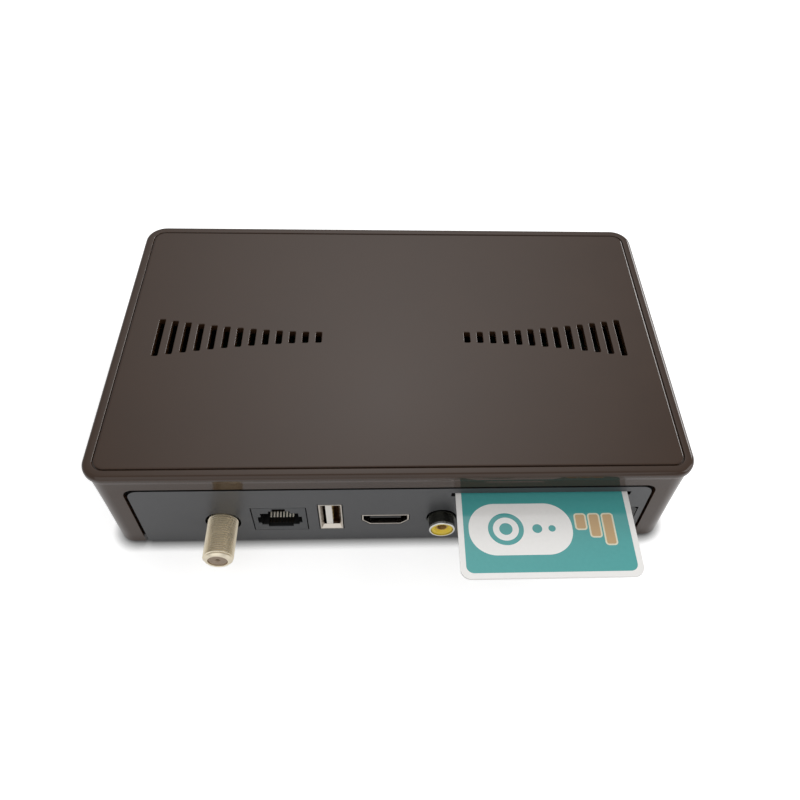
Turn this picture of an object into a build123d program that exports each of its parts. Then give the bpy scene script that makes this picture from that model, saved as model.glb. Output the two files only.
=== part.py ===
"""Compact satellite television receiver, in millimetres.

Front of the case is towards -Y, the connector side towards +Y, up is +Z.
The origin lies under the middle of the whole object, on the surface that it stands on.
Left and right in the comments are as seen from the front.
"""
from build123d import *
import os
from math import radians, tan

# Case: a one-piece cover with a raised rim over a flat base tray
case_width = 184.0
case_depth = 113.5
case_height = 39.8
foot_height = 1.5
wall = 2.2
ceiling = 2.4
draft = 1.0
rim_overhang = 1.1
rim_height = 3.2
rim_corner = 7.0
rim_fillet = 1.2
groove_inset = 3.0
groove_width = 0.7
groove_depth = 0.6
groove_edge = 0.4

# Graduated louvres in the cover
louvre_count = 13
louvre_first = 25.2
louvre_pitch = 4.43
louvre_width = 2.0
louvre_short = 4.8
louvre_growth = 11.9
louvre_power = 1.65
louvre_offset = 0.5

# Ribs under the ceiling of the cover
rib_thickness = 1.2
rib_depth = 3.0
rib_offset = 14.0

# End openings and the two panels that close them
opening_side = 10.5
opening_top = 33.3
opening_corner = 3.4
panel_gap = 1.0
flange_gap = 0.3
flange_thickness = 1.2
flange_lap = 2.0
ledge_depth = 7.0
ledge_thickness = 1.6
ledge_side = 18.0
peg_radius = 1.5
peg_height = 3.0
peg_count = 2
peg_clearance = 0.15

# Base tray
floor_thickness = 2.0
tray_clearance = 0.3
tray_rim_thickness = 1.6
tray_rim_height = 6.0
foot_radius = 6.0
foot_recess = 0.8
foot_clearance = 0.2
foot_edge = 0.7
foot_side = 24.0
foot_end = 19.0
base_slot_count = 9
base_slot_pitch = 7.0
base_slot_width = 2.4
base_slot_length = 20.0
base_slot_row = 17.0

# Screws that hold the tray to the cover
case_screw_side = 8.4
case_screw_end = 15.0
post_radius = 4.0
post_top = 12.0
cover_boss_radius = 3.0
screw_radius = 1.4
screw_fit = 0.05
screw_hole_clearance = 0.3
head_radius = 2.6
head_height = 1.8
head_edge = 0.7
head_clearance = 0.4
case_screw_grip = 8.0
case_screw_web = 2.0

# Main board
board_thickness = 1.6
board_seat = 3.2
board_gap = 0.4
board_side = 13.0
board_hole_inset = 4.0
board_hole_rear = 21.0
board_screw_tip = 0.3
board_boss_radius = 3.0

# Antenna socket, 3/8-32 thread
antenna_panel_side = 26.0
antenna_height = 13.5
antenna_thread_radius = 4.76
antenna_neck_radius = 4.0
antenna_proud = 12.3
antenna_tip_chamfer = 0.9
antenna_root_chamfer = 0.7
antenna_root_depth = 1.0
antenna_hole_radius = 5.6
antenna_flange_width = 12.6
antenna_flange_height = 10.2
antenna_flange_depth = 5.0
antenna_bore_radius = 3.1
antenna_tip_recess = 0.25
antenna_contact_radius = 1.3
antenna_contact_hole = 0.6
antenna_contact_depth = 3.0
tuner_width = 20.0
tuner_gap = 0.8
tuner_depth = 24.0
tuner_height = 9.5
tuner_sheet = 0.5
tuner_lid_slot = 3.0
tuner_slot_length = 12.0
tuner_slot_pitch = 5.0

# Network socket, eight contacts, latch upwards
network_pitch = 18.1
network_width = 16.8
network_height = 13.2
network_depth = 16.0
network_clearance = 0.35
network_sill = 3.2
network_mouth_half = 6.0
network_mouth_height = 6.8
network_notch_half = 7.0
network_notch_low = 1.1
network_notch_high = 4.7
network_step_half = 3.4
network_step_height = 8.1
network_latch_half = 2.1
network_latch_height = 9.4
network_comb_half = 4.0
network_comb_drop = 1.2
network_mouth_depth = 12.0
network_wire_count = 8
network_wire_pitch = 1.02
network_wire_width = 0.5
network_wire_thickness = 0.3
network_wire_start = 1.4
network_wire_bend = 3.0
network_wire_rise = 2.7

# Upright data port
data_pitch = 16.2
data_inner_width = 5.1
data_inner_height = 12.5
data_sheet = 0.4
data_depth = 14.0
data_flare = 0.7
data_flare_depth = 1.2
data_seat = 0.9
data_clearance = 0.35
data_tongue_offset = 0.6
data_tongue_thickness = 2.0
data_tongue_height = 11.0
data_tongue_recess = 0.8
data_base_depth = 4.0
data_heel_depth = 2.0
data_contact_count = 4
data_contact_pitch = 2.4
data_contact_width = 1.0
data_contact_thickness = 0.2
data_contact_length = 7.0

# Digital video socket with one chamfered side
video_pitch = 17.4
video_seat = 2.7
video_width = 15.0
video_height = 5.6
video_straight = 3.1
video_bottom_half = 5.0
video_sheet = 0.45
video_depth = 11.0
video_clearance = 0.25
video_tongue_width = 10.0
video_tongue_thickness = 1.1
video_tongue_recess = 0.9
video_base_depth = 3.0
video_spring_width = 1.3
video_spring_reach = 2.9
video_spring_rise = 0.7
video_spring_length = 5.0

# Composite video phono jack
phono_pitch = 18.0
phono_height = 14.7
phono_barrel_radius = 4.15
phono_barrel_wall = 0.55
phono_lip = 0.2
phono_collar = 0.35
phono_collar_proud = 0.2
phono_proud = 3.1
phono_hole_radius = 4.85
phono_body_width = 10.0
phono_body_depth = 9.0
phono_body_crown = 5.2
phono_body_edge = 1.0
phono_insulator_recess = 0.4
phono_bore_radius = 1.85
phono_contact_bore = 1.6
phono_mouth_cone = 0.7

# Power inlet jack
power_side = 6.55
power_width = 9.0
power_height = 11.4
power_depth = 13.5
power_clearance = 0.3
power_mouth_radius = 3.2
power_mouth_depth = 9.5
power_pin_radius = 1.0
power_pin_recess = 0.6
power_pin_tip = 0.5
power_edge = 1.0

# Card in its reader
card_side = 34.7
card_width = 53.98
card_length = 85.6
card_thickness = 0.76
card_corner = 3.18
card_height = 28.4
card_proud = 27.1
slot_side_clearance = 1.2
slot_height = 2.0
reader_play = 0.25
reader_end_play = 0.4
reader_rail = 2.2
reader_lip = 2.6
reader_roof = 1.6
reader_floor = 1.8
reader_stop = 2.4
reader_bridge = 6.0
reader_funnel = 0.9
chip_end = 15.0
chip_side = 23.9
chip_length = 12.6
chip_width = 11.2
chip_corner = 0.9
chip_depth = 0.25
contact_rows = 4
contact_pitch = 2.54
contact_span = 7.6
contact_width = 1.2
contact_thickness = 0.3
contact_length = 6.0
contact_gap = 0.35
contact_foot = 0.9
reader_window_margin = 2.0
card_board_margin = 1.6
card_board_overrun = 5.0
spacer_radius = 2.6
spacer_inset = 3.0
spacer_rear = 15.0
link_pin_count = 10
link_pin_pitch = 2.54
link_pin_size = 0.64
link_strip_size = 2.5

# Main board components
processor_size = 23.0
processor_height = 1.9
processor_x = 18.0
processor_y = -8.0
heatsink_size = 30.0
heatsink_height = 11.0
heatsink_base = 2.4
heatsink_fins = 8
heatsink_fin = 1.1
pad_thickness = 0.6
memory_width = 8.0
memory_length = 12.6
memory_height = 1.1
memory_gap = 7.0
flash_size = 8.0
flash_height = 1.6
can_radius = 4.0
can_height = 11.5
can_edge = 0.6
can_pitch = 11.0
can_count = 4
can_row = 12.0
supply_side = 12.0
choke_size = 7.6
choke_height = 4.2
choke_pitch = 11.0
choke_count = 3
choke_corner = 1.4
choke_row = 24.0
crystal_length = 11.0
crystal_width = 4.4
crystal_height = 3.6
crystal_corner = 1.4
magnetics_width = 12.6
magnetics_length = 16.0
magnetics_height = 5.9
magnetics_gap = 2.0
chip_edge = 0.4

# Front panel, display and buttons
window_x = -22.0
window_z = 19.0
window_width = 66.0
window_height = 16.0
window_corner = 2.0
window_thickness = 1.8
window_clearance = 0.1
window_seat = 2.0
display_width = 40.0
display_height = 12.8
display_thickness = 6.8
infrared_size = 6.0
infrared_thickness = 4.4
infrared_offset = 26.0
infrared_lens_radius = 2.0
infrared_lens_height = 1.4
infrared_lens_edge = 0.8
led_radius = 1.5
led_height = 4.8
led_edge = 0.7
led_offset = -26.0
standby_side = 16.5
standby_radius = 4.6
channel_pitch = 17.0
channel_spacing = 14.0
channel_width = 11.0
channel_height = 6.4
channel_corner = 1.6
button_clearance = 0.3
button_proud = 0.9
button_crown = 0.5
button_flange = 1.2
button_flange_lap = 1.2
button_rest_gap = 0.2
button_stem_radius = 1.7
button_travel = 0.6
front_board_setback = 7.6
front_board_top = 32.0
front_board_margin = 8.0
front_board_seat = 1.5
guide_width = 5.0
guide_wall = 1.8
guide_grip = 2.4
guide_fit = 0.1
switch_size = 6.2
switch_height = 3.6
switch_bore_radius = 1.9
plunger_radius = 1.6
plunger_proud = 1.4
plunger_depth = 1.6
plunger_end_gap = 0.3
header_pin_count = 8
header_reach = 5.0

# Small round forms that repeat, such as screws and their bosses, have few sides
small_sides = 8
foot_sides = 16

# Levels and planes that follow from the sizes above
underside_z = foot_height
top_z = underside_z + case_height
ceiling_z = top_z - ceiling
rim_z = top_z - rim_height
floor_z = underside_z + floor_thickness
board_z = floor_z + board_seat
board_top = board_z + board_thickness
rear_y = (case_depth - card_proud) / 2
front_y = rear_y - case_depth
middle_y = (rear_y + front_y) / 2
opening_half = case_width / 2 - opening_side
panel_half = opening_half - panel_gap
panel_top = opening_top - panel_gap
panel_stack = wall + flange_gap + flange_thickness
overshoot = 1.0


def setback(z):
    """Distance from the edge of the rim in to the outer face of the wall, at height z."""
    return rim_overhang + (ceiling_z - z) * tan(radians(draft))


inner_rear = rear_y - setback(underside_z) - panel_stack
inner_front = front_y + setback(underside_z) + panel_stack
board_rear = inner_rear - board_gap
jack_front = inner_rear - board_gap
card_x = card_side - panel_half
power_x = power_side - panel_half
antenna_x = panel_half - antenna_panel_side
network_x = antenna_x - network_pitch
data_x = network_x - data_pitch
video_x = data_x - video_pitch
phono_x = video_x - phono_pitch
board_left = board_side - case_width / 2
tuner_left = network_x + network_width / 2 + tuner_gap
board_right = tuner_left + tuner_width + board_gap
network_z = board_top + network_sill
data_z = board_top + data_seat + data_inner_height / 2 + data_sheet
video_z = board_top + video_seat
card_z = card_height
reader_z = card_z - reader_play - reader_floor
card_inner_y = rear_y + card_proud - card_length
front_board_y = inner_front + front_board_setback
board_front = front_board_y + board_thickness + guide_fit + guide_wall + board_gap


def block(x, y, z):
    """Straight-sided block between a pair of limits on each axis."""
    centre = Pos((x[0] + x[1]) / 2, (y[0] + y[1]) / 2, (z[0] + z[1]) / 2)
    return centre * Box(x[1] - x[0], y[1] - y[0], z[1] - z[0])


def bar(radius, height, place, sides=small_sides):
    """Upright bar or bore with few sides, from place upwards."""
    return Pos(*place) * extrude(RegularPolygon(radius, sides), height)


def turned(points, place, axis=Axis.Z):
    """Solid of revolution from (radius, distance along the axis) points."""
    plane = Plane.XZ if axis == Axis.Z else Plane.XY
    outline = plane * make_face(Polyline(*points, close=True))
    return Pos(*place) * revolve(outline, axis)


def through_y(outline, place, depth):
    """An outline drawn on an upright plane at place and carried forwards, towards -Y."""
    return Pos(*place) * extrude(Plane.XZ * outline, depth)


def envelope(inset, below=0.0):
    """Drafted form inside the case walls, moved in by inset, from the ceiling down."""
    shrink = 2 * (rim_overhang + inset)
    outline = RectangleRounded(case_width - shrink, case_depth - shrink, rim_corner - inset)
    height = ceiling_z - underside_z + below
    placed = Pos(0, middle_y, ceiling_z) * outline
    return extrude(placed, amount=height, dir=(0, 0, -1), taper=draft)


def end_prism(side, grow, top, inward, corner=opening_corner):
    """Straight prism of an end opening's outline, grown by grow, reaching inward from the rim."""
    low = underside_z - 2 * opening_corner
    outline = Rectangle(2 * (opening_half + grow), top - low)
    if corner:
        outline = fillet(outline.vertices(), corner)
    start = rear_y + overshoot if side > 0 else front_y + inward
    return through_y(outline, (0, start, (top + low) / 2), inward + overshoot)


def louvres():
    """Two fans of slots whose length grows towards the sides."""
    slots = Sketch()
    for index in range(louvre_count):
        share = index / (louvre_count - 1)
        length = louvre_short + louvre_growth * share**louvre_power
        for side in (-1, 1):
            x = side * (louvre_first + louvre_pitch * index)
            slots += Pos(x, middle_y + louvre_offset) * Rectangle(louvre_width, length)
    return extrude(Pos(0, 0, ceiling_z - overshoot) * slots, ceiling + 2 * overshoot)


def corner_places(side_inset, end_inset):
    """Four places inside the corners of the case."""
    x = case_width / 2 - side_inset
    return [(sx * x, y) for sx in (-1, 1) for y in (front_y + end_inset, rear_y - end_inset)]


def rim_outline(inset):
    """Outline of the rim in the plane of its underside, moved in by inset."""
    outline = RectangleRounded(case_width - 2 * inset, case_depth - 2 * inset, rim_corner - inset)
    return Pos(0, middle_y, rim_z) * outline


def build_top_cover():
    """Walls, rim, sunk groove and louvres, moulded in one piece."""
    rim = extrude(rim_outline(0), rim_height)
    rim = fillet(rim.faces().sort_by(Axis.Z)[-1].edges(), rim_fillet)
    rise = rim_height - groove_depth
    rim -= Pos(0, 0, rise) * extrude(rim_outline(groove_inset), rim_height)
    deck = Pos(0, 0, rise) * extrude(rim_outline(groove_inset + groove_width), groove_depth)
    deck = chamfer(deck.faces().sort_by(Axis.Z)[-1].edges(), groove_edge)
    cover = envelope(0) + rim + deck - envelope(wall, overshoot)
    for side in (-1, 1):
        cover -= end_prism(side, 0, opening_top, rim_overhang + panel_stack + overshoot)
    cover -= louvres()
    rib_half = case_width / 2 - rim_overhang - wall
    for side in (-1, 1):
        y = middle_y + side * rib_offset
        cover += block(
            (-rib_half, rib_half),
            (y - rib_thickness / 2, y + rib_thickness / 2),
            (ceiling_z - rib_depth, ceiling_z),
        )
    for x, y in corner_places(case_screw_side, case_screw_end):
        cover += bar(cover_boss_radius, ceiling_z - post_top, (x, y, post_top))
        cover -= bar(screw_radius + screw_fit, case_screw_grip + overshoot, (x, y, post_top))
    return cover


def peg_places(side):
    """Pegs on the tray that locate the ledge of an end panel."""
    half = panel_half - ledge_side
    y = (inner_rear - ledge_depth / 2) if side > 0 else (inner_front + ledge_depth / 2)
    return [(half * (2 * index / (peg_count - 1) - 1), y) for index in range(peg_count)]


def build_tray():
    """Floor with a low rim, posts, bosses, pegs, board guides and ventilation slots."""
    outline = envelope(wall + tray_clearance)
    floor = outline & block((-case_width, case_width), (front_y, rear_y), (underside_z, floor_z))
    for side in (-1, 1):
        floor -= end_prism(side, flange_lap + board_gap, opening_top, rear_y - inner_rear + flange_gap)
    rim_z_high = floor_z + tray_rim_height
    rim = outline - envelope(wall + tray_clearance + tray_rim_thickness)
    rim_reach = (inner_front + ledge_depth, inner_rear - ledge_depth)
    tray = floor + (rim & block((-case_width, case_width), rim_reach, (floor_z - overshoot, rim_z_high)))
    slots = Sketch()
    for index in range(base_slot_count):
        x = (index - (base_slot_count - 1) / 2) * base_slot_pitch
        for row in (-1, 1):
            slots += Pos(x, middle_y + row * base_slot_row) * Rectangle(base_slot_width, base_slot_length)
    tray -= extrude(Pos(0, 0, underside_z - overshoot) * slots, floor_thickness + 2 * overshoot)
    for x, y in corner_places(case_screw_side, case_screw_end):
        height = post_top - underside_z
        tray += bar(post_radius, height, (x, y, underside_z))
        tray -= bar(screw_radius + screw_hole_clearance, height, (x, y, underside_z))
        tray -= bar(head_radius + head_clearance, height - case_screw_web, (x, y, underside_z))
    for x, y in board_screw_places():
        tray += bar(board_boss_radius, board_seat, (x, y, floor_z))
        tray -= bar(screw_radius + screw_fit, board_seat, (x, y, floor_z))
    for x, y in corner_places(foot_side, foot_end):
        tray -= bar(foot_radius + foot_clearance, foot_recess, (x, y, underside_z), foot_sides)
    for side in (-1, 1):
        for x, y in peg_places(side):
            tray += bar(peg_radius, peg_height, (x, y, floor_z))
    for side in (-1, 1):
        tray += board_guide(side)
    return tray


def front_board_limits():
    """Left and right ends of the upright board behind the front panel."""
    half = panel_half - front_board_margin
    return -half, half


def board_guide(side):
    """Slotted upright that grips one end of the front board."""
    end = front_board_limits()[0 if side < 0 else 1]
    x = sorted((end - side * guide_grip, end - side * guide_grip + side * guide_width))
    y = (front_board_y - guide_fit - guide_wall, front_board_y + board_thickness + guide_fit + guide_wall)
    post = block(x, y, (floor_z, front_board_top - guide_width))
    slot_x = sorted((end - side * (guide_grip + overshoot), end + side * guide_fit))
    slot_y = (front_board_y - guide_fit, front_board_y + board_thickness + guide_fit)
    return post - block(slot_x, slot_y, (floor_z + front_board_seat, front_board_top))


def build_end_panel(side):
    """Plate in an end opening, with a flange behind the wall and a ledge on the tray."""
    reach = panel_stack + setback(underside_z) + overshoot
    plate = envelope(0) - envelope(wall + flange_gap)
    plate &= end_prism(side, -panel_gap, panel_top, reach)
    flange = envelope(wall + flange_gap) - envelope(panel_stack)
    flange &= end_prism(side, flange_lap, opening_top + flange_lap, reach, 0)
    inner = inner_rear if side > 0 else inner_front
    half = panel_half - ledge_side + 2 * ledge_thickness + peg_radius
    ledge_y = sorted((inner + side * flange_thickness / 2, inner - side * ledge_depth))
    panel = plate + flange + block((-half, half), ledge_y, (floor_z, floor_z + ledge_thickness))
    for x, y in peg_places(side):
        panel -= bar(peg_radius + peg_clearance, peg_height, (x, y, floor_z))
    return panel


def network_mouth():
    """Front outline of the network plug's opening: notches, step, latch slot and comb."""
    low = -network_comb_drop
    right = [
        (network_comb_half, low),
        (network_comb_half, 0),
        (network_mouth_half, 0),
        (network_mouth_half, network_notch_low),
        (network_notch_half, network_notch_low),
        (network_notch_half, network_notch_high),
        (network_mouth_half, network_notch_high),
        (network_mouth_half, network_mouth_height),
        (network_step_half, network_mouth_height),
        (network_step_half, network_step_height),
        (network_latch_half, network_step_height),
        (network_latch_half, network_latch_height),
    ]
    left = [(-x, z) for x, z in reversed(right)]
    return make_face(Polyline(*right, *left, close=True))


def video_outline(inset):
    """Front outline of the video socket, moved in by inset; the lower corners are cut away."""
    half = video_width / 2 - inset
    bottom_half = video_bottom_half - inset / 2
    top = video_height - inset
    knee = video_height - video_straight
    right = [(half, top), (half, knee), (bottom_half, inset)]
    left = [(-x, z) for x, z in reversed(right)]
    return make_face(Polyline(*right, *left, close=True))


def build_rear_panel():
    """End panel with the openings for the sockets and the card."""
    panel = build_end_panel(1)
    deep = panel_stack + setback(underside_z) + overshoot
    start = rear_y + overshoot
    network_grow = 2 * network_clearance
    data_grow = 2 * (data_flare + data_sheet + data_clearance)
    power_grow = 2 * power_clearance
    cuts = [
        (Circle(antenna_hole_radius), (antenna_x, start, antenna_height)),
        (
            Rectangle(network_width + network_grow, network_height + network_grow),
            (network_x, start, board_top + network_height / 2),
        ),
        (
            Rectangle(data_inner_width + data_grow, data_inner_height + data_grow),
            (data_x, start, data_z),
        ),
        (video_outline(-video_clearance), (video_x, start, video_z)),
        (Circle(phono_hole_radius), (phono_x, start, phono_height)),
        (
            Rectangle(power_width + power_grow, power_height + power_grow),
            (power_x, start, board_top + power_height / 2),
        ),
        (
            Rectangle(card_width + 2 * slot_side_clearance, slot_height),
            (card_x, start, card_z + card_thickness / 2),
        ),
    ]
    for outline, place in cuts:
        panel -= through_y(outline, place, deep + overshoot)
    return panel


def build_antenna_connector():
    """Turned barrel with its neck, and the square flange that is soldered to the board."""
    face = rear_y - setback(antenna_height)
    tip = rear_y + antenna_proud - face
    back = jack_front - face
    root = -antenna_root_depth
    points = [
        (antenna_bore_radius, tip),
        (antenna_thread_radius - antenna_tip_chamfer, tip),
        (antenna_thread_radius, tip - antenna_tip_chamfer),
        (antenna_thread_radius, root + antenna_root_chamfer),
        (antenna_neck_radius, root),
        (antenna_neck_radius, back),
        (antenna_bore_radius, back),
    ]
    barrel = turned(points, (antenna_x, face, antenna_height), Axis.Y)
    flange = block(
        (antenna_x - antenna_flange_width / 2, antenna_x + antenna_flange_width / 2),
        (jack_front - antenna_flange_depth, jack_front),
        (board_top, board_top + antenna_flange_height),
    )
    bore = Circle(antenna_bore_radius)
    return barrel + flange - through_y(bore, (antenna_x, jack_front, antenna_height), overshoot)


def build_antenna_insulator():
    """Plastic core of the barrel with the bore for the centre contact."""
    tip = rear_y + antenna_proud - antenna_tip_recess
    depth = tip - (jack_front - overshoot)
    core = through_y(Circle(antenna_bore_radius), (antenna_x, tip, antenna_height), depth)
    core -= through_y(Circle(antenna_contact_hole), (antenna_x, tip, antenna_height), antenna_contact_depth)
    bore = RegularPolygon(antenna_contact_radius, small_sides)
    return core - through_y(bore, (antenna_x, tip - antenna_contact_depth, antenna_height), depth)


def build_antenna_contact():
    """Tubular spring contact inside the insulator."""
    front = rear_y + antenna_proud - antenna_tip_recess - antenna_contact_depth
    depth = front - (jack_front - overshoot)
    tube = RegularPolygon(antenna_contact_radius, small_sides)
    tube -= RegularPolygon(antenna_contact_hole, small_sides)
    return through_y(tube, (antenna_x, front, antenna_height), depth)


def build_tuner_can():
    """Folded sheet box over the tuner, with a slotted lid."""
    back = jack_front - antenna_flange_depth
    x = (tuner_left, tuner_left + tuner_width)
    y = (back - tuner_depth, back)
    can = block(x, y, (board_top, board_top + tuner_height))
    can = chamfer(can.edges().filter_by(Axis.Z), tuner_sheet)
    hollow = block(
        (x[0] + tuner_sheet, x[1] - tuner_sheet),
        (y[0] + tuner_sheet, y[1] - tuner_sheet),
        (board_top - overshoot, board_top + tuner_height - tuner_sheet),
    )
    can -= hollow
    lid = Pos((x[0] + x[1]) / 2, (y[0] + y[1]) / 2, board_top + tuner_height - overshoot)
    for index in (-1, 0, 1):
        slot = Pos(index * tuner_slot_pitch, 0) * Rectangle(tuner_lid_slot, tuner_slot_length)
        can -= lid * extrude(slot, 2 * overshoot)
    return can


def build_network_socket():
    """Shielded body with the stepped plug opening."""
    face = rear_y - setback(board_top + network_height / 2)
    body = block(
        (network_x - network_width / 2, network_x + network_width / 2),
        (face - network_depth, face),
        (board_top, board_top + network_height),
    )
    return body - through_y(network_mouth(), (network_x, face, network_z), network_mouth_depth)


def build_network_contacts():
    """Eight spring wires that rise from the comb to the back of the opening."""
    face = rear_y - setback(board_top + network_height / 2)
    low = network_z - network_comb_drop
    back = face - network_mouth_depth
    thick = network_wire_thickness
    wires = Part()
    side = Polyline(
        (face - network_wire_start, low),
        (face - network_wire_bend, low),
        (back, low + network_wire_rise),
        (back, low + network_wire_rise + thick),
        (face - network_wire_bend, low + thick),
        (face - network_wire_start, low + thick),
        close=True,
    )
    wire = extrude(Plane.YZ * make_face(side), network_wire_width / 2, both=True)
    for index in range(network_wire_count):
        x = network_x + (index - (network_wire_count - 1) / 2) * network_wire_pitch
        wires += Pos(x, 0, 0) * wire
    return wires


def build_data_shell():
    """Folded steel shell with a flared mouth."""
    face = rear_y - setback(data_z)
    sheet = 2 * data_sheet

    def outline(grow):
        return Rectangle(data_inner_width + grow, data_inner_height + grow)

    straight = data_depth - data_flare_depth
    shell = through_y(outline(sheet), (data_x, face - data_flare_depth, data_z), straight)
    shell -= through_y(outline(0), (data_x, face - data_flare_depth + overshoot, data_z), data_depth)
    ends = []
    for grow in (sheet, 0):
        wide = Plane.XZ.offset(-data_flare_depth) * outline(grow + 2 * data_flare)
        ends.append(Pos(data_x, face - data_flare_depth, data_z) * loft([Plane.XZ * outline(grow), wide]))
    return shell + (ends[0] - ends[1])


def build_data_insert():
    """White plastic insert: a base that closes the shell and the contact tongue."""
    face = rear_y - setback(data_z)
    back = face - data_depth
    outline = Rectangle(data_inner_width, data_inner_height)
    base = through_y(outline, (data_x, back + data_base_depth, data_z), data_base_depth)
    tongue_x = data_x + data_tongue_offset
    tongue = block(
        (tongue_x - data_tongue_thickness / 2, tongue_x + data_tongue_thickness / 2),
        (back + data_base_depth, face - data_tongue_recess),
        (data_z - data_tongue_height / 2, data_z + data_tongue_height / 2),
    )
    half = data_inner_width / 2 + data_sheet
    low = data_z - data_inner_height / 2 - data_sheet
    stand = block((data_x - half, data_x + half), (back, board_rear), (board_top, low))
    heel = block(
        (data_x - half, data_x + half),
        (back - data_heel_depth, back),
        (board_top, data_z + data_inner_height / 2),
    )
    return base + tongue + stand + heel


def build_data_contacts():
    """Four flat springs on the open side of the tongue."""
    face = rear_y - setback(data_z)
    start = face - data_tongue_recess - overshoot
    side_x = data_x + data_tongue_offset - data_tongue_thickness / 2
    strips = Part()
    for index in range(data_contact_count):
        z = data_z + (index - (data_contact_count - 1) / 2) * data_contact_pitch
        strips += block(
            (side_x - data_contact_thickness, side_x),
            (start - data_contact_length, start),
            (z - data_contact_width / 2, z + data_contact_width / 2),
        )
    return strips


def build_video_shell():
    """Folded shell of the video socket with two retaining springs."""
    face = rear_y - setback(video_z)
    shell = through_y(video_outline(0), (video_x, face, video_z), video_depth)
    deep = video_depth + 2 * overshoot
    shell -= through_y(video_outline(video_sheet), (video_x, face + overshoot, video_z), deep)
    top = video_z + video_height - video_sheet
    spring = Polyline(
        (face - overshoot, top),
        (face - overshoot - video_spring_length, top),
        (face - overshoot - video_spring_length / 2, top - video_spring_rise),
        close=True,
    )
    leaf = extrude(Plane.YZ * make_face(spring), video_spring_width / 2, both=True)
    for side in (-1, 1):
        shell += Pos(video_x + side * video_spring_reach, 0, 0) * leaf
    return shell


def build_video_insert():
    """Plastic core of the video socket, which stands on the board, with its tongue."""
    face = rear_y - setback(video_z)
    back = face - video_depth
    outline = video_outline(video_sheet)
    inner = through_y(outline, (video_x, back + video_base_depth, video_z), video_base_depth)
    stand = block(
        (video_x - video_bottom_half, video_x + video_bottom_half), (back, board_rear), (board_top, video_z)
    )
    middle = video_z + video_height / 2
    tongue = block(
        (video_x - video_tongue_width / 2, video_x + video_tongue_width / 2),
        (back + video_base_depth, face - video_tongue_recess),
        (middle - video_tongue_thickness / 2, middle + video_tongue_thickness / 2),
    )
    heel = block(
        (video_x - video_bottom_half, video_x + video_bottom_half),
        (back - video_base_depth, back),
        (board_top, video_z + video_height),
    )
    return inner + tongue + heel + stand


def build_phono_barrel():
    """Plated outer contact of the phono jack, with the collar that fills the panel's hole."""
    face = rear_y - setback(phono_height)
    front = rear_y + phono_proud - face
    back = jack_front - face
    inner = phono_barrel_radius - phono_barrel_wall
    collar = phono_barrel_radius + phono_collar
    points = [
        (inner, front),
        (phono_barrel_radius - phono_lip, front),
        (phono_barrel_radius, front - phono_lip),
        (phono_barrel_radius, phono_collar_proud),
        (collar, phono_collar_proud),
        (collar, back),
        (inner, back),
    ]
    return turned(points, (phono_x, face, phono_height), Axis.Y)


def build_phono_insulator():
    """Coloured insulator in the barrel, with a coned mouth."""
    face = rear_y - setback(phono_height)
    front = rear_y + phono_proud - phono_insulator_recess - face
    back = jack_front - face
    points = [
        (phono_bore_radius + phono_mouth_cone, front),
        (phono_barrel_radius - phono_barrel_wall, front),
        (phono_barrel_radius - phono_barrel_wall, back),
        (phono_bore_radius, back),
        (phono_bore_radius, front - phono_mouth_cone),
    ]
    return turned(points, (phono_x, face, phono_height), Axis.Y)


def build_phono_contact():
    """Tubular centre contact, open at its mouth."""
    face = rear_y - setback(phono_height)
    front = rear_y + phono_proud - phono_insulator_recess - phono_mouth_cone
    tube = RegularPolygon(phono_bore_radius, small_sides)
    tube -= RegularPolygon(phono_contact_bore, small_sides)
    return through_y(tube, (phono_x, front, phono_height), front - face + (face - jack_front))


def build_phono_body():
    """Moulded block that carries the jack on the board."""
    half = phono_body_width / 2
    y = (jack_front - phono_body_depth, jack_front)
    body = block((phono_x - half, phono_x + half), y, (board_top, phono_height + phono_body_crown))
    return chamfer(body.faces().sort_by(Axis.Z)[-1].edges().filter_by(Axis.Y), phono_body_edge)


def build_power_jack():
    """Moulded inlet with a round mouth and bevelled top edges."""
    face = rear_y - setback(board_top + power_height / 2)
    half = power_width / 2
    z = (board_top, board_top + power_height)
    body = block((power_x - half, power_x + half), (face - power_depth, face), z)
    body = chamfer(body.faces().sort_by(Axis.Z)[-1].edges().filter_by(Axis.Y), power_edge)
    centre = (power_x, face, board_top + power_height / 2)
    return body - through_y(Circle(power_mouth_radius), centre, power_mouth_depth)


def build_power_pin():
    """Centre pin of the inlet with a bevelled tip."""
    z = board_top + power_height / 2
    tip = rear_y - setback(z) - power_pin_recess
    outline = RegularPolygon(power_pin_radius, small_sides)
    pin = through_y(outline, (power_x, tip, z), power_mouth_depth - power_pin_recess)
    return chamfer(pin.faces().sort_by(Axis.Y)[-1].edges(), power_pin_tip)


def card_blank(grow=0.0):
    """Flat outline of the card in its resting place."""
    middle = card_inner_y + card_length / 2
    outline = RectangleRounded(card_width + 2 * grow, card_length + 2 * grow, card_corner)
    return Pos(card_x, middle, card_z) * outline


def chip_outline():
    """Outline of the card's contact plate, at the inner end of the card."""
    x = card_x + card_width / 2 - chip_side
    outline = chamfer(Rectangle(chip_width, chip_length).vertices(), chip_corner)
    return Pos(x, card_inner_y + chip_end, card_z) * outline


def build_card():
    """Plastic card with the pocket for its contact plate underneath."""
    return extrude(card_blank(), card_thickness) - extrude(chip_outline(), chip_depth)


def build_chip_plate():
    """Gilt contact plate, flush with the underside of the card."""
    return extrude(chip_outline(), chip_depth)


def reader_limits():
    """Front and back of the reader frame along y."""
    return card_inner_y - reader_end_play - reader_stop, inner_rear - board_gap


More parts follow.
